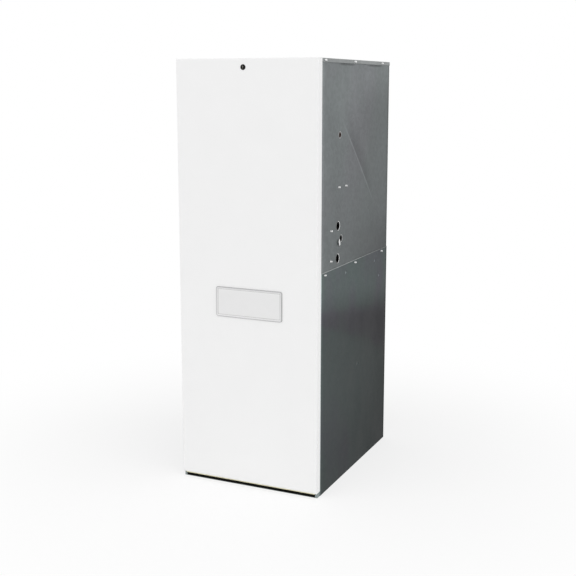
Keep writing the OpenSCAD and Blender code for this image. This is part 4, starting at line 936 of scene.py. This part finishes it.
face_rings += [on_door(inner * share, 2.0 + 0.5 * (1 - share ** 4)) for share in (0.97, 0.9, 0.78, 0.6, 0.4, 0.2, 0.0)]
face_points = np.stack(face_rings) * mm
face_sides = face_points.shape[1]
face_paint, tree, shader, place = plain_finish("plate_face", (0.79, 0.79, 0.79), 0.0, 0.25)
# The fine line round the face is a shallow groove painted dark as painted shade.
face_tones = between(tree, own_mark(tree, "groove_shade"), (0.79, 0.79, 0.79), (0.3, 0.3, 0.3), (0, 1))
tree.links.new(times(tree, face_tones, between(tree, noise(tree, place, 30), 0.98, 1.0)), shader.inputs["Base Color"])
in_groove = np.isin(np.arange(len(face_rings)), (3, 4))
face = piece("plate_blank_face", face_points, quads(face_points, columns_round=True)
             + [list(range(face_sides))], "door", face_paint, 25, "groove_shade", np.repeat(in_groove, face_sides))
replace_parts(face, "nameplate_face")

# Latch. A black grommet with a rounded flange in the door, and in it a domed steel stud with an upright
# screwdriver slot, which turns a wing behind the strike. The stud is painted dark as the shade of its recess, and its
# slot bright as a painted highlight.
stud_r, stud_head_r, wing_y = 4.0, 5.8, -296.0
stud_high, slot_half, slot_end, slot_deep = 2.9, 0.75, 5.2, 0.9
flange = np.linspace(0, pi / 2, 7)
collar_out = np.concatenate([[6.0, 8.8], 8.0 + 0.8 * np.cos(flange), [6.4, 6.05, 4.1, 4.1, 6.0]])
collar_high = np.concatenate([[0, 0], 0.6 + 1.0 * np.sin(flange), [1.6, 1.3, 1.3, -5, -5]])
collar_points = ringed(collar_out, collar_high, (latch_x, door_face, latch_z), (0, -1, 0)) * mm
latch_black = mottled("latch_black", (0.008, 0.008, 0.007), 0.0, 0.5, 800, 0.00004, specular=0.15)
collar = piece("latch_collar", collar_points, quads(collar_points, True, True), "door", latch_black, 40)
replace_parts(collar, "latch_grommet")


def stud_grid():
    """Rings of the stud, in millimetres: a domed head whose height drops in an upright slot, its edge, and the shank
    through to the wing."""
    out = np.concatenate([np.linspace(0, stud_head_r, 18), [stud_head_r, stud_r, stud_r, 0]])
    dome = stud_high - 0.9 * (np.linspace(0, 1, 18) ** 2.4)
    high = np.concatenate([dome, [1.65, 1.6, door_face - wing_y, door_face - wing_y]])
    points = ringed(out, high, (latch_x, door_face, latch_z), (0, -1, 0), 96)
    slot = (np.abs(points[:18, :, 0] - latch_x) < slot_half) & (out[:18, None] < slot_end)
    points[:18, :, 1] += np.where(slot, slot_deep, 0)
    return points, np.concatenate([slot, np.zeros((4, 96), bool)])


stud_points, stud_slot = stud_grid()
wing = np.stack(np.meshgrid((-2, 2), (wing_y, wing_y + 3), (-10, 10), indexing="ij"), -1).reshape(-1, 3)
wing_faces = [(0, 1, 3, 2), (4, 6, 7, 5), (0, 4, 5, 1), (2, 3, 7, 6), (0, 2, 6, 4), (1, 5, 7, 3)]
stud_count = stud_points[..., 0].size
stud_faces = quads(stud_points, columns_round=True)
stud_faces += [[corner + stud_count for corner in face] for face in wing_faces]
# The stud's dark steel is painted shade for its recess, and its slot is painted bright as a highlight.
stud_steel, tree, shader, place = plain_finish("stud_steel", (0.02, 0.02, 0.018), 0.6, 0.4, 0.2)
tree.links.new(between(tree, own_mark(tree, "slot_highlight"), (0.012, 0.012, 0.01), (0.36, 0.34, 0.31), (0, 1)),
               shader.inputs["Base Color"])
tree.links.new(between(tree, noise(tree, place, 500), 0.35, 0.5), shader.inputs["Roughness"])
all_stud = np.concatenate([stud_points.reshape(-1, 3), wing + (latch_x, 0, latch_z)]) * mm
stud_marks = np.concatenate([stud_slot.ravel(), np.zeros(len(wing))])
stud = piece("slotted_stud", all_stud, stud_faces, "latch", stud_steel, 30, "slot_highlight", stud_marks)
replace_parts(stud, "latch_stud")
